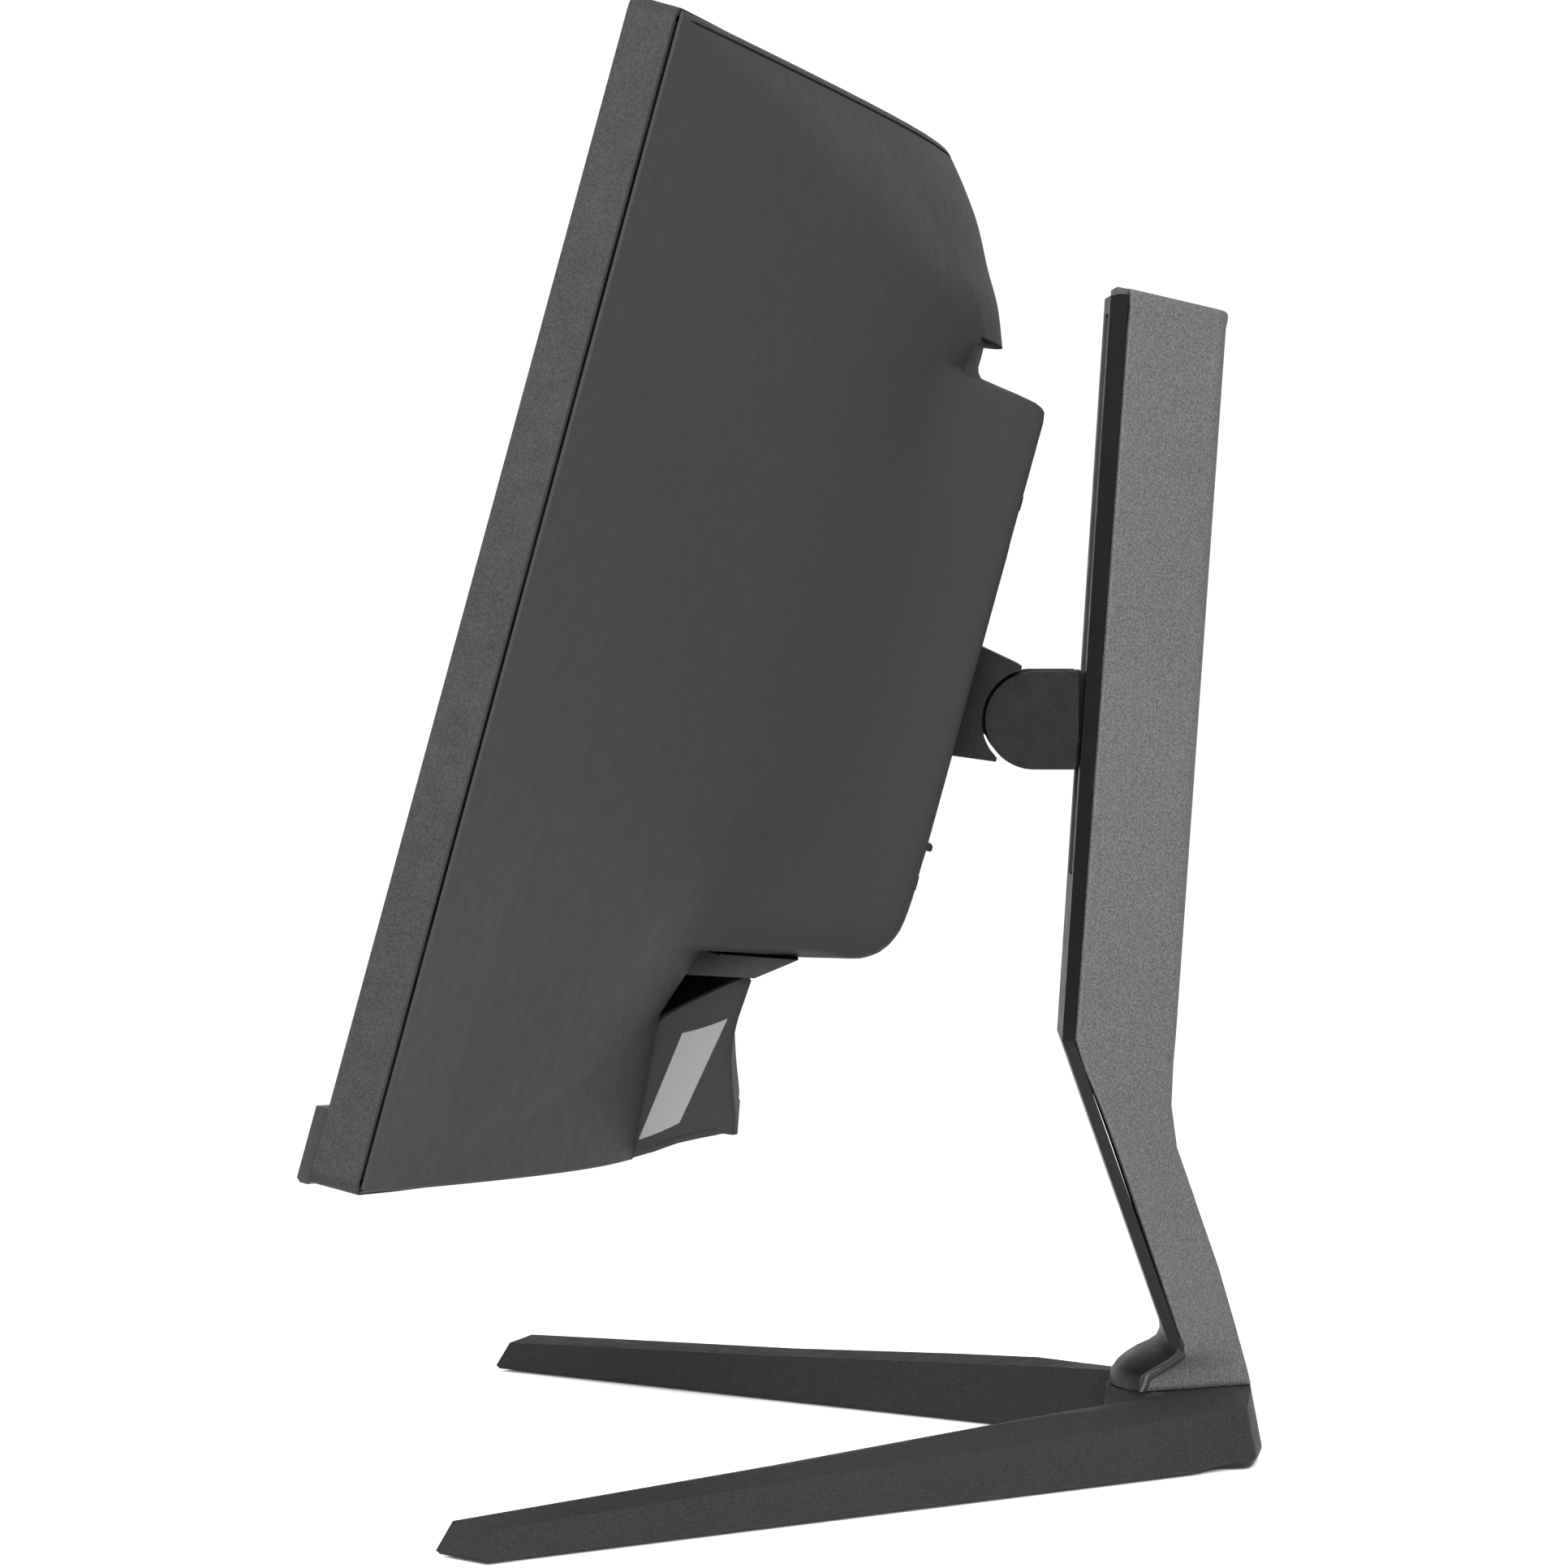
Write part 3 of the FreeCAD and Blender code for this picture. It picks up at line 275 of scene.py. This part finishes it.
def eased(points, where):
    """A smooth curve without overshoot through (position, value) points."""
    if where <= points[0][0]:
        return points[0][1]
    if where >= points[-1][0]:
        return points[-1][1]
    slopes = [(b[1] - a[1]) / (b[0] - a[0]) for a, b in zip(points, points[1:])]
    tangents = [slopes[0]]
    for a, b in zip(slopes, slopes[1:]):
        tangents.append(0.0 if a * b <= 0 else 2 * a * b / (a + b))
    tangents.append(slopes[-1])
    for index, (low, high) in enumerate(zip(points, points[1:])):
        if where <= high[0]:
            gap = high[0] - low[0]
            t = (where - low[0]) / gap
            return ((2 * t ** 3 - 3 * t ** 2 + 1) * low[1] + (t ** 3 - 2 * t ** 2 + t) * gap * tangents[index]
                    + (3 * t ** 2 - 2 * t ** 3) * high[1] + (t ** 3 - t ** 2) * gap * tangents[index + 1])
    return points[-1][1]


def step(value, low, high):
    """A soft step from 0 at low to 1 at high."""
    share = min(1.0, max(0.0, (value - low) / (high - low)))
    return share * share * (3 - 2 * share)


# ------------------------------------------------------------ rear cover

HALF = 404.0
TALL = 182.4
SOFT = 130.0
END_LEVEL = 16.4
FRAME_RADIUS = 1514.5
RING_CENTRE = -math.sqrt(1501.0 ** 2 - 408.0 ** 2)
RIM = 2.2
LIP = 121.4
TRAY = -106.0
HOUSING_TOP = 106.0
BAND = 330.0
RECESS_HALF = 90.0
RECESS_BACK = 86.1
NEAR = 0.8


def spread(x):
    return math.hypot(x, SOFT) - SOFT


def fall(crown, x):
    """Depth of the cover at x, from its depth in the middle."""
    return crown - (crown - END_LEVEL) * spread(x) / spread(HALF)


def crease_level(x):
    """Height of the soft crease between the dome and the lower slope."""
    return max(-181.0, -114.0 - 0.192 * abs(x))


def flank(x, z):
    """The dome without its cowl."""
    side = abs(x)
    crease = crease_level(side)
    if z <= crease:
        share = (crease - z) / max(0.5, crease + TALL)
        return fall(96.0, side) + (fall(100.5, side) - fall(96.0, side)) * share
    depth = eased([
        (crease, fall(96.0, side)), (min(-60.0, -88.0 + 0.02 * side), fall(111.0, side)),
        (10.0, fall(129.0, side)), (117.0 + 0.21 * spread(side), fall(137.0, side)),
        (TALL, fall(107.6, side)),
    ], z)
    bend = (side - 200) / (BAND - 200) if side < BAND else (HALF - side) / (HALF - BAND)
    fade = step(z, crease, crease + 45) * (1 - step(z, 140, 180))
    return depth - 4.4 * max(0.0, bend) * fade


# distance from the middle and depth of the back at mid height, where the stand is fixed
BACK = [
    (0, 162.2), (64.5, 162.2), (69, 160.8), (74, 156.8), (81, 149.8), (90, 141.8), (100, 134.4), (115, 125.5),
    (130, 118.0), (160, 104.6), (200, 88.0), (250, 68.0), (330, 40.0), (HALF, END_LEVEL),
]
BACK_TOP = [(99.0, 1.0), (102.6, 0.98), (104.6, 0.88), (109.0, 0.08), (112.0, 0.0)]
BACK_LOW = [
    (-105.9, 0.0), (-102.2, 0.38), (-98.3, 0.65), (-95.7, 0.81), (-89.5, 0.93), (-81.0, 0.985), (-72.0, 1.0),
]


def back_share(side, z):
    """How much of the deep back there is at a point: all of it at mid height."""
    if z > 0:
        narrow = eased(BACK_TOP, z)
        wide = 1.0 - step(z, 45.0, 113.0)
        mix = step(side, 68.0, 120.0)
    else:
        narrow = eased(BACK_LOW, z)
        wide = step(z, -118.0, -30.0)
        mix = step(side, 90.0, 160.0)
    return narrow + (wide - narrow) * mix


COWL_RIDGE = [
    (LIP, 144.0), (134.9, 138.5), (146.4, 131.8), (160.9, 124.0), (172.1, 116.0), (179.4, 110.0),
    (TALL, 107.4),
]
COWL_INNER = [(HOUSING_TOP, 78.0), (LIP, 70.0), (150.0, 104.0), (172.0, 150.0), (180.0, 222.0), (TALL, 262.0)]
COWL_OUTER = [(TRAY, 90.0), (HOUSING_TOP, 114.0), (LIP, 122.0), (145.0, 158.0), (165.0, 222.0), (TALL, 300.0)]


def cover_depth(x, z):
    """Outer surface of the rear cover."""
    side = abs(x)
    plain = flank(x, z)
    inner = between(COWL_INNER, z)[0]
    outer = between(COWL_OUTER, z)[0]
    share = min(1.0, max(0.0, (outer - side) / (outer - inner)))
    raised = fall(eased(COWL_RIDGE, z), side) - 0.6
    if z < LIP:
        share *= step(z, 104.0, LIP) * step(side, 66.0, 76.0)
    plain += (eased(BACK, side) - plain) * back_share(side, z)
    depth = plain + (max(raised, plain) - plain) * share
    edge = min(TALL - z, z + TALL)
    if edge < RIM:
        depth -= RIM - math.sqrt(max(0.0, RIM ** 2 - (RIM - edge) ** 2))
    if 2.1 < TALL - z < 2.8 and side < 396:
        depth -= 0.9
    return depth


def frame_back(x):
    return RING_CENTRE + math.sqrt(FRAME_RADIUS ** 2 - x * x) + 0.3


def run(start, stop, count):
    return [start + (stop - start) * index / count for index in range(count)]


def cover_rows(side):
    """Heights of the grid rows at one distance from the middle."""
    crease = crease_level(side)
    rows = [-TALL, -TALL + 0.15, -TALL + 0.5, -TALL + 1.0, -TALL + 1.6]
    rows += run(min(crease - 0.2, -TALL + 2.2), crease, 12) + [crease] + run(crease + 0.8, TRAY, 7)
    rows += run(TRAY, -92.0, 14) + run(-92.0, -68.0, 8) + run(-68.0, 94.0, 26)
    rows += run(94.0, HOUSING_TOP, 10) + run(HOUSING_TOP, 108.0, 2) + [107.99]
    rows += run(109.0, LIP - 0.05, 7) + [LIP - 0.05]
    rows += run(LIP, 179.2, 30)
    rows += [179.5, 179.75, 180.15, 180.4, 180.8, 181.4, 181.9, 182.25, TALL]
    return rows


def cover_columns(z):
    """Distances of the grid columns from the middle, with a pair of columns at each crease."""
    inner = between(COWL_INNER, z)[0]
    outer = between(COWL_OUTER, z)[0]
    cowl = run(0, 62, 10) + run(62, inner - NEAR, 6) + [inner - NEAR]
    cowl += run(inner, outer - NEAR, 9) + [outer - NEAR]
    return cowl + run(outer, BAND - NEAR, 25) + [BAND - NEAR] + run(BAND, HALF, 12) + [HALF]


# columns of the grid between the middle and the recess's side wall
RECESS_COLUMNS = 27


def build_cover():
    heights = cover_rows(0)
    wide = len(cover_columns(0))
    corners, faces = [], []
    total = 2 * wide - 1
    for row in range(len(heights)):
        for column in range(total):
            index = abs(column - wide + 1)
            sign = -1 if column < wide - 1 else 1
            z = heights[row]
            # the columns depend on the height and the rows on the distance, so settle both
            for _ in range(3):
                side = cover_columns(z)[index]
                z = cover_rows(side)[row]
            corners.append((sign * side, cover_depth(side, z), z))
    for row in range(len(heights) - 1):
        for column in range(total - 1):
            middle_index = min(abs(column - wide + 1), abs(column - wide + 2))
            level = (heights[row] + heights[row + 1]) / 2
            if level < TRAY and middle_index < RECESS_COLUMNS:
                continue
            a = row * total + column
            faces.append((a, a + 1, a + total + 1, a + total))
    # the edge all round, forward to the frame
    ring = [row * total for row in range(len(heights))]
    ring += [(len(heights) - 1) * total + column for column in range(1, total)]
    ring += [row * total + total - 1 for row in reversed(range(len(heights) - 1))]
    ring += [column for column in reversed(range(1, total - 1)) if abs(corners[column][0]) >= RECESS_HALF]
    front = []
    for index in ring:
        x, _, z = corners[index]
        front.append(len(corners))
        corners.append((x, frame_back(x), z))
    for here in range(len(ring)):
        ahead = (here + 1) % len(ring)
        if abs(corners[ring[here]][0] - corners[ring[ahead]][0]) > 60:
            continue
        faces.append((ring[here], ring[ahead], front[ahead], front[here]))
    # the recess above the skirt
    low, high, deep, wall_x = -TALL, TRAY, RECESS_BACK, RECESS_HALF
    base = len(corners)
    corners.extend([
        (-wall_x, deep, low), (wall_x, deep, low), (wall_x, deep, high), (-wall_x, deep, high),
        (wall_x, 103, high), (-wall_x, 103, high), (-wall_x, 60, low), (wall_x, 60, low),
    ])
    faces.extend([
        (base, base + 1, base + 2, base + 3), (base + 3, base + 2, base + 4, base + 5),
        (base, base + 1, base + 7, base + 6),
    ])
    for sign in (1, -1):
        wall = []
        for z in run(low, high, 24) + [high]:
            wall.append(((sign * wall_x, cover_depth(wall_x, z), z), (sign * wall_x, deep, z)))
        base = len(corners)
        for outer, inner in wall:
            corners.extend((outer, inner))
        for index in range(len(wall) - 1):
            a = base + 2 * index
            faces.append((a, a + 1, a + 3, a + 2))
    return new_piece("cover", corners, faces, HEAD, 34.0)


keep(build_cover(), "head", ["rear_cover", "top_cowl", "stand_housing"], "cover_grey")

# ------------------------------------------------------------ lower skirt and its accent panels

SKIRT_REAR = [
    (-182.4, 122.0), (-170.0, 125.2), (-167.0, 125.6), (-163.0, 124.4), (-147.5, 118.7), (-136.0, 115.6),
    (-127.0, 115.0), (-118.0, 116.2), (-109.0, 118.5),
]


def skirt_depth(side, z):
    """Outer surface of the skirt: its rear face and its splayed sides."""
    start = flank(90.0, min(z, -135.5))
    out = max(0.0, 90.0 - abs(side))
    ramp = 2.0 * (math.sqrt(out * out + 9.0) - 3.0)
    reach = eased(SKIRT_REAR, z)
    climb = start + ramp
    blend = 1.6
    near = min(reach, climb)
    return near - blend * math.log(math.exp(-(reach - near) / blend) + math.exp(-(climb - near) / blend))


SKIRT_TOP = [(0, -127.0), (70.6, -127.0), (72.2, -124.6), (73.2, -113.0), (74.4, -111.2), (90.0, -135.4)]
SKIRT_LOW = [
    (0, -166.2), (72.0, -166.2), (74.0, -168.0), (76.0, -169.6), (80.0, -173.2), (84.0, -177.8),
    (87.0, -180.4), (90.0, -182.0),
]


def build_skirt():
    across = run(-90, -70, 24) + run(-70, 70, 40) + run(70, 90, 24) + [90]
    rings = []
    # the floor of the skirt, from its front edge to the turn of its lower edge
    for place in ("front", "near edge", "edge"):
        ring = []
        for x in across:
            low = between(SKIRT_LOW, abs(x))[0]
            edge = skirt_depth(x, low)
            if place == "front":
                ring.append((x, 86.6, low - 0.6 * 0.03 * (edge - 86.6)))
            elif place == "near edge":
                ring.append((x, max(86.7, edge - 2.4), low - 0.25))
            else:
                ring.append((x, max(86.8, edge - 0.9), low - 0.05))
        rings.append(ring)
    for share in [index / 26 for index in range(27)]:
        ring = []
        for x in across:
            low = between(SKIRT_LOW, abs(x))[0] + 0.5
            high = between(SKIRT_TOP, abs(x))[0]
            z = low + (high - low) * share
            depth = skirt_depth(x, z)
            if 0.03 < share < 0.06:
                depth -= 0.7  # the thin groove above the lower edge
            ring.append((x, depth, z))
        rings.append(ring)
    corners, faces = skin(rings)
    piece = new_piece("skirt", corners, faces, HEAD, 44.0, backwards)
    thick = piece.modifiers.new("wall", "SOLIDIFY")
    thick.thickness = 2.2 * MM
    thick.offset = -1.0
    bevelled(piece, 0.5, 2, 50.0)
    return piece


skirt = keep(build_skirt(), "head", ["lower_skirt"], "cover_grey")


def side_at(depth, z):
    """How far from the middle the skirt's side reaches a depth."""
    low, high = 60.0, 92.0
    for _ in range(30):
        middle = (low + high) / 2
        if skirt_depth(middle, z) > depth:
            low = middle
        else:
            high = middle
    return (low + high) / 2


# corners as (depth, height): top front, top rear, bottom rear, bottom front
ACCENT = ((97.4, -135.6), (111.2, -127.2), (104.6, -166.0), (92.6, -174.6))


def build_accent(name, sign):
    top_front, top_rear, low_rear, low_front = (Vector(corner) for corner in ACCENT)
    rings = []
    lift = 0.30
    for row in range(25):
        down = row / 24
        ring = []
        for column in range(13):
            over = column / 12
            top = top_front.lerp(top_rear, over)
            low = low_front.lerp(low_rear, over)
            y, z = top.lerp(low, down)
            z -= 0.5 * math.sin(math.pi * over)
            side = side_at(y, z)
            ring.append((sign * (side + lift * 0.9), y + lift * 0.45, z))
        rings.append(ring)
    corners, faces = skin(rings)
    piece = new_piece(name, corners, faces, HEAD, 60.0, (sign, 0, 0))
    thick = piece.modifiers.new("wall", "SOLIDIFY")
    thick.thickness = 0.9 * MM
    thick.offset = 0.0
    bevelled(piece, 0.25, 2, 60.0)
    return piece


for name, sign in (("right_accent", 1), ("left_accent", -1)):
    keep(build_accent(name, sign), "head", [f"{name}_panel"], "accent_grey")

# ------------------------------------------------------------ column shell

# height, front edge, rear face, half width in front
SHELL = [
    (26.0, -16.4, 24.9, 27.4), (32.0, -14.2, 23.4, 27.4), (38.7, -1.6, 21.5, 27.0),
    (40.2, -0.9, 21.1, 27.0), (42.6, -0.8, 20.4, 27.0), (46.0, -2.4, 19.5, 27.1),
    (67.0, -9.4, 13.4, 27.5),
    (110.0, -24.0, -1.6, 28.2), (125.0, -29.6, -3.6, 28.5), (140.0, -35.8, -2.9, 28.5),
    (150.0, -39.0, -2.0, 28.5), (417.0, -20.0, 16.2, 28.5),
]


def column_outline(front, rear, half, inset=0.0):
    rear_half = 6.0
    right = [
        (half - 1.2 - inset, front), (half - inset, front + 1.0), (rear_half + 0.4 - inset, rear - inset),
    ]
    points = right + [(-x, y) for x, y in reversed(right)]
    return rounded(points, [0, 1.4, 7.0, 7.0, 1.4, 0], 8)


def build_column():
    levels = [26.0, 28.0, 30.0, 32.0, 34.0, 36.0, 38.0] + run(40, 150, 44) + run(150, 400, 40) + [400]
    rings = []
    for z in levels:
        rings.append([(x, y, z) for x, y in column_outline(*between(SHELL, z))])
    for share, inset in ((0.5, 0.0), (0.80, 0.0), (0.91, 0.35), (0.97, 1.0), (1.0, 2.0), (1.0, 3.0)):
        front, rear, half = between(SHELL, 410)
        ring = []
        for x, y in column_outline(front, rear, half, inset):
            top = 415.3 - 0.206 * (y + 30)
            ring.append((x, y, 400 + (top - 400) * share))
        rings.append(ring)
    corners, faces = skin(rings)
    piece = new_piece("column", corners, faces, None, 42.0, (0, 1, 0))
    thick = piece.modifiers.new("wall", "SOLIDIFY")
    thick.thickness = 2.2 * MM
    thick.offset = -1.0
    return piece


keep(build_column(), "column", ["column_shell"], "column_sand")

# ------------------------------------------------------------ toe cover

TOE_NOSE = [(0, -25.4), (8, -24.6), (15, -22.8), (21, -20.3), (25, -18.0), (27.0, -16.4)]
# (back, up) along the top of the toe: in the middle, and at its sides
TOE_MIDDLE = [
    (-22.4, 33.6), (-19.4, 36.2), (-15.5, 38.6), (-11.4, 40.3), (-8.6, 42.2), (-7.4, 45.0), (-7.7, 49.0),
]
TOE_SIDE = [
    (-15.4, 31.7), (-12.4, 33.6), (-9.0, 35.6), (-5.6, 37.7), (-3.4, 39.4), (-2.3, 41.6), (-3.2, 46.0),
]
TOE_INSIDE = [(-0.6, 44.0), (0.2, 38.2), (-12.0, 30.0), (-13.6, 26.15)]


def build_toe():
    rings = []
    for x in [-27.0] + run(-26.6, 26.6, 40) + [26.6, 27.0]:
        share = (abs(x) / 27.0) ** 2.4
        nose = eased(TOE_NOSE, abs(x))
        ring = [(x, nose, 26.15), (x, nose + 0.15, 27.5), (x, nose + 0.5, 30.6)]
        for (back, up), (side_back, side_up) in zip(TOE_MIDDLE, TOE_SIDE):
            ring.append((x, max(nose + 1.2, back + (side_back - back) * share), up + (side_up - up) * share))
        ring += [(x, back, up) for back, up in TOE_INSIDE]
        rings.append(ring)
    corners, faces = skin(rings, True)
    wide = len(rings[0])
    faces += [tuple(range(wide)), tuple(range(len(corners) - wide, len(corners)))]
    piece = new_piece("toe", corners, faces, None, 44.0)
    bevelled(piece, 0.6, 3, 40.0)
    return piece


keep(build_toe(), "column", ["toe_cover"], "smooth_black")

# ------------------------------------------------------------ foot

LEG_TURN = math.radians(40.6)
CORNER = (37.7, 21.8)
UNDER = 0.8
COLLAR = 26.5
COLLAR_TOP = 25.6


def on_leg(along, inward, up):
    """A point of the right leg: along it from the heel, inward from its outer side."""
    x = CORNER[0] + math.sin(LEG_TURN) * along - math.cos(LEG_TURN) * inward
    y = CORNER[1] - math.cos(LEG_TURN) * along - math.sin(LEG_TURN) * inward
    return (x, y, up)


# along the leg, outer top, ridge and inner top heights
LEG = [
    (24.0, 20.9, 24.4, 25.2), (40.0, 20.3, 24.3, 24.6), (60.0, 19.6, 24.6, 23.8), (80.0, 18.9, 25.0, 22.9),
    (120.0, 17.7, 23.2, 20.9), (200.0, 15.2, 18.7, 16.8), (334.0, 11.1, 13.4, 11.2),
]
# around the hub: outer bottom, outer top and ridge
HEEL = [
    ((45.6, 12.6, UNDER), (44.0, 11.6, 21.0), (32.5, 6.0, 24.9)),
    ((39.4, 21.6, UNDER), (37.6, 18.0, 21.2), (28.0, 10.5, 25.4)),
    ((37.2, 24.2, UNDER), (35.2, 20.8, 21.3), (25.5, 14.0, 25.6)),
    ((34.2, 25.4, UNDER), (32.2, 21.8, 21.8), (22.0, 17.2, 25.7)),
    ((22.0, 27.4, UNDER), (20.6, 23.4, 24.2), (14.0, 19.6, 25.7)),
    ((10.0, 28.8, UNDER), (9.4, 24.4, 25.4), (7.0, 20.0, 25.7)),
    ((0.0, 29.2, UNDER), (0.0, 24.7, 25.7), (0.0, 20.0, 25.7)),
]


# the sections around the hub and the last one of the leg
HUB_SECTIONS = len(HEEL) + 1


def foot_sections():
    """Closed sections of the right half, from the tip of the leg to the middle of the heel."""
    tip = LEG[-1]
    sections = [[
        on_leg(338.6, 0.6, UNDER), on_leg(340, 0.2, 2.0), on_leg(334, 1.5, tip[1]), on_leg(333, 13.1, tip[2]),
        on_leg(334, 24.7, tip[3]), on_leg(340, 26.0, 2.0), on_leg(338.6, 25.6, UNDER),
    ]]
    for along in reversed(run(24, 332, 44)):
        outer, ridge, inner = between(LEG, along)
        sections.append([
            on_leg(along, 1.2, UNDER), on_leg(along, 0.0, 2.0), on_leg(along, 1.5, outer),
            on_leg(along, 13.1, ridge), on_leg(along, 24.7, inner), on_leg(along, 26.1, 2.0),
            on_leg(along, 25.0, UNDER),
        ])
    first, last = math.radians(-12.0), math.radians(-90.0)
    for index, (low, high, ridge) in enumerate(HEEL):
        turn = first + (last - first) * index / (len(HEEL) - 1)
        ring = [(radius * math.cos(turn), radius * math.sin(turn), up) for radius, up in (
            (COLLAR, COLLAR_TOP), (COLLAR + 2.2, 2.0), (COLLAR + 1.0, UNDER))]
        under = (low[0] * (0.8865 if index == 0 else 0.97), low[1] - 2.2, UNDER)
        belly = Vector(low).lerp(Vector(high), 0.14)
        out = 1.02 if index == 0 else 1.0
        sections.append([under, (belly.x * out, belly.y + 0.2, belly.z), high, ridge] + ring)
    return sections


def smoothed(sections, pieces):
    """Extra sections eased between the given ones."""
    result = []
    for index in range(len(sections) - 1):
        before = sections[max(index - 1, 0)]
        after = sections[min(index + 2, len(sections) - 1)]
        for part in range(pieces):
            t = part / pieces
            ring = []
            for a, b, c, d in zip(before, sections[index], sections[index + 1], after):
                a, b, c, d = Vector(a), Vector(b), Vector(c), Vector(d)
                ring.append(tuple(0.5 * (2 * b + (c - a) * t + (2 * a - 5 * b + 4 * c - d) * t * t
                                         + (3 * b - a - 3 * c + d) * t ** 3)))
            result.append(ring)
    result.append(sections[-1])
    return result


def build_foot():
    sections = foot_sections()
    half = sections[:-HUB_SECTIONS] + smoothed(sections[-HUB_SECTIONS:], 4)
    half[-1] = [(0.0, y, z) for _, y, z in half[-1]]
    mirrored = [[(-x, y, z) for x, y, z in ring] for ring in reversed(half[:-1])]
    rings = half + mirrored
    corners, faces = skin(rings, True)
    wide = len(rings[0])
    faces += [tuple(range(wide)), tuple(range(len(corners) - wide, len(corners)))]
    piece = new_piece("foot", corners, faces, None, 30.0)
    bevelled(piece, 1.0, 3, 26.0)
    return piece


keep(build_foot(), "foot", ["foot_casting"], "textured_black")

# ------------------------------------------------------------ pieces shown as designed

SLOTS = {part["node"]: part["material_slot"] for part in record["subparts"]}
EDGES = {
    "mid_frame": 0.7, "column_front_cover": 0.9, "column_cap": 0.5,
    "tilt_arm": 0.7, "tilt_bracket": 0.8, "mount_plate": 0.4, "bottom_chin": 0.0, "io_panel": 0.5,
}
built_over = {name for piece in scene.objects for name in piece.get("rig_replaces", [])}
for name, node in nodes.items():
    node.data.materials.clear()
    node.data.materials.append(MATERIALS[SLOTS[name]])
    if name in built_over:
        continue
    width = EDGES.get(name, 0.2)
    if width:
        bevelled(node, width, 3, 28.0)

# ------------------------------------------------------------ camera

CAMERA_AT = (2.4964, -0.1410, 0.34456)
CAMERA_PITCH = math.radians(2.4253)
LENS = 161.886

camera_data = bpy.data.cameras.new("camera")
camera_data.lens = LENS
camera_data.sensor_width = 36.0
camera_data.clip_start = 0.05
camera_data.clip_end = 60.0
camera = bpy.data.objects.new("camera", camera_data)
camera.location = CAMERA_AT
camera.rotation_euler = (math.pi / 2 - CAMERA_PITCH, 0.0, math.pi / 2)
scene.collection.objects.link(camera)
scene.camera = camera

# ------------------------------------------------------------ light and floor

world = bpy.data.worlds.new("studio")
world.use_nodes = True
backdrop = world.node_tree.nodes["Background"]
backdrop.inputs["Color"].default_value = (1.0, 1.0, 1.0, 1.0)
backdrop.inputs["Strength"].default_value = 1.07
scene.world = world
scene.view_settings.view_transform = "Standard"


def softbox(name, place, aim, size, power):
    data = bpy.data.lights.new(name, "AREA")
    data.shape = "RECTANGLE"
    data.size, data.size_y = size
    data.energy = power
    lamp = bpy.data.objects.new(name, data)
    lamp.location = place
    lamp.rotation_euler = (Vector(aim) - Vector(place)).to_track_quat("-Z", "Y").to_euler()
    scene.collection.objects.link(lamp)


softbox("key", (2.6, -0.2, 0.95), (0.0, -0.1, 0.25), (1.2, 1.2), 190.0)
softbox("overhead", (0.5, 0.3, 2.6), (0.0, -0.1, 0.0), (2.4, 2.4), 75.0)

reach = 0.9
floor_data = bpy.data.meshes.new("floor")
floor_data.from_pydata(
    [(-reach, -reach, 0), (reach, -reach, 0), (reach, reach, 0), (-reach, reach, 0)], [], [(0, 1, 2, 3)])
floor = bpy.data.objects.new("floor", floor_data)
floor.location.z = -0.0003
scene.collection.objects.link(floor)
pale = Surface("pale_floor", grey(0.95), 0.9, specular=0.1)
floor_data.materials.append(pale.finish(300.0, 0.00001, 0.0, 0.0, 0.0, 0.0))
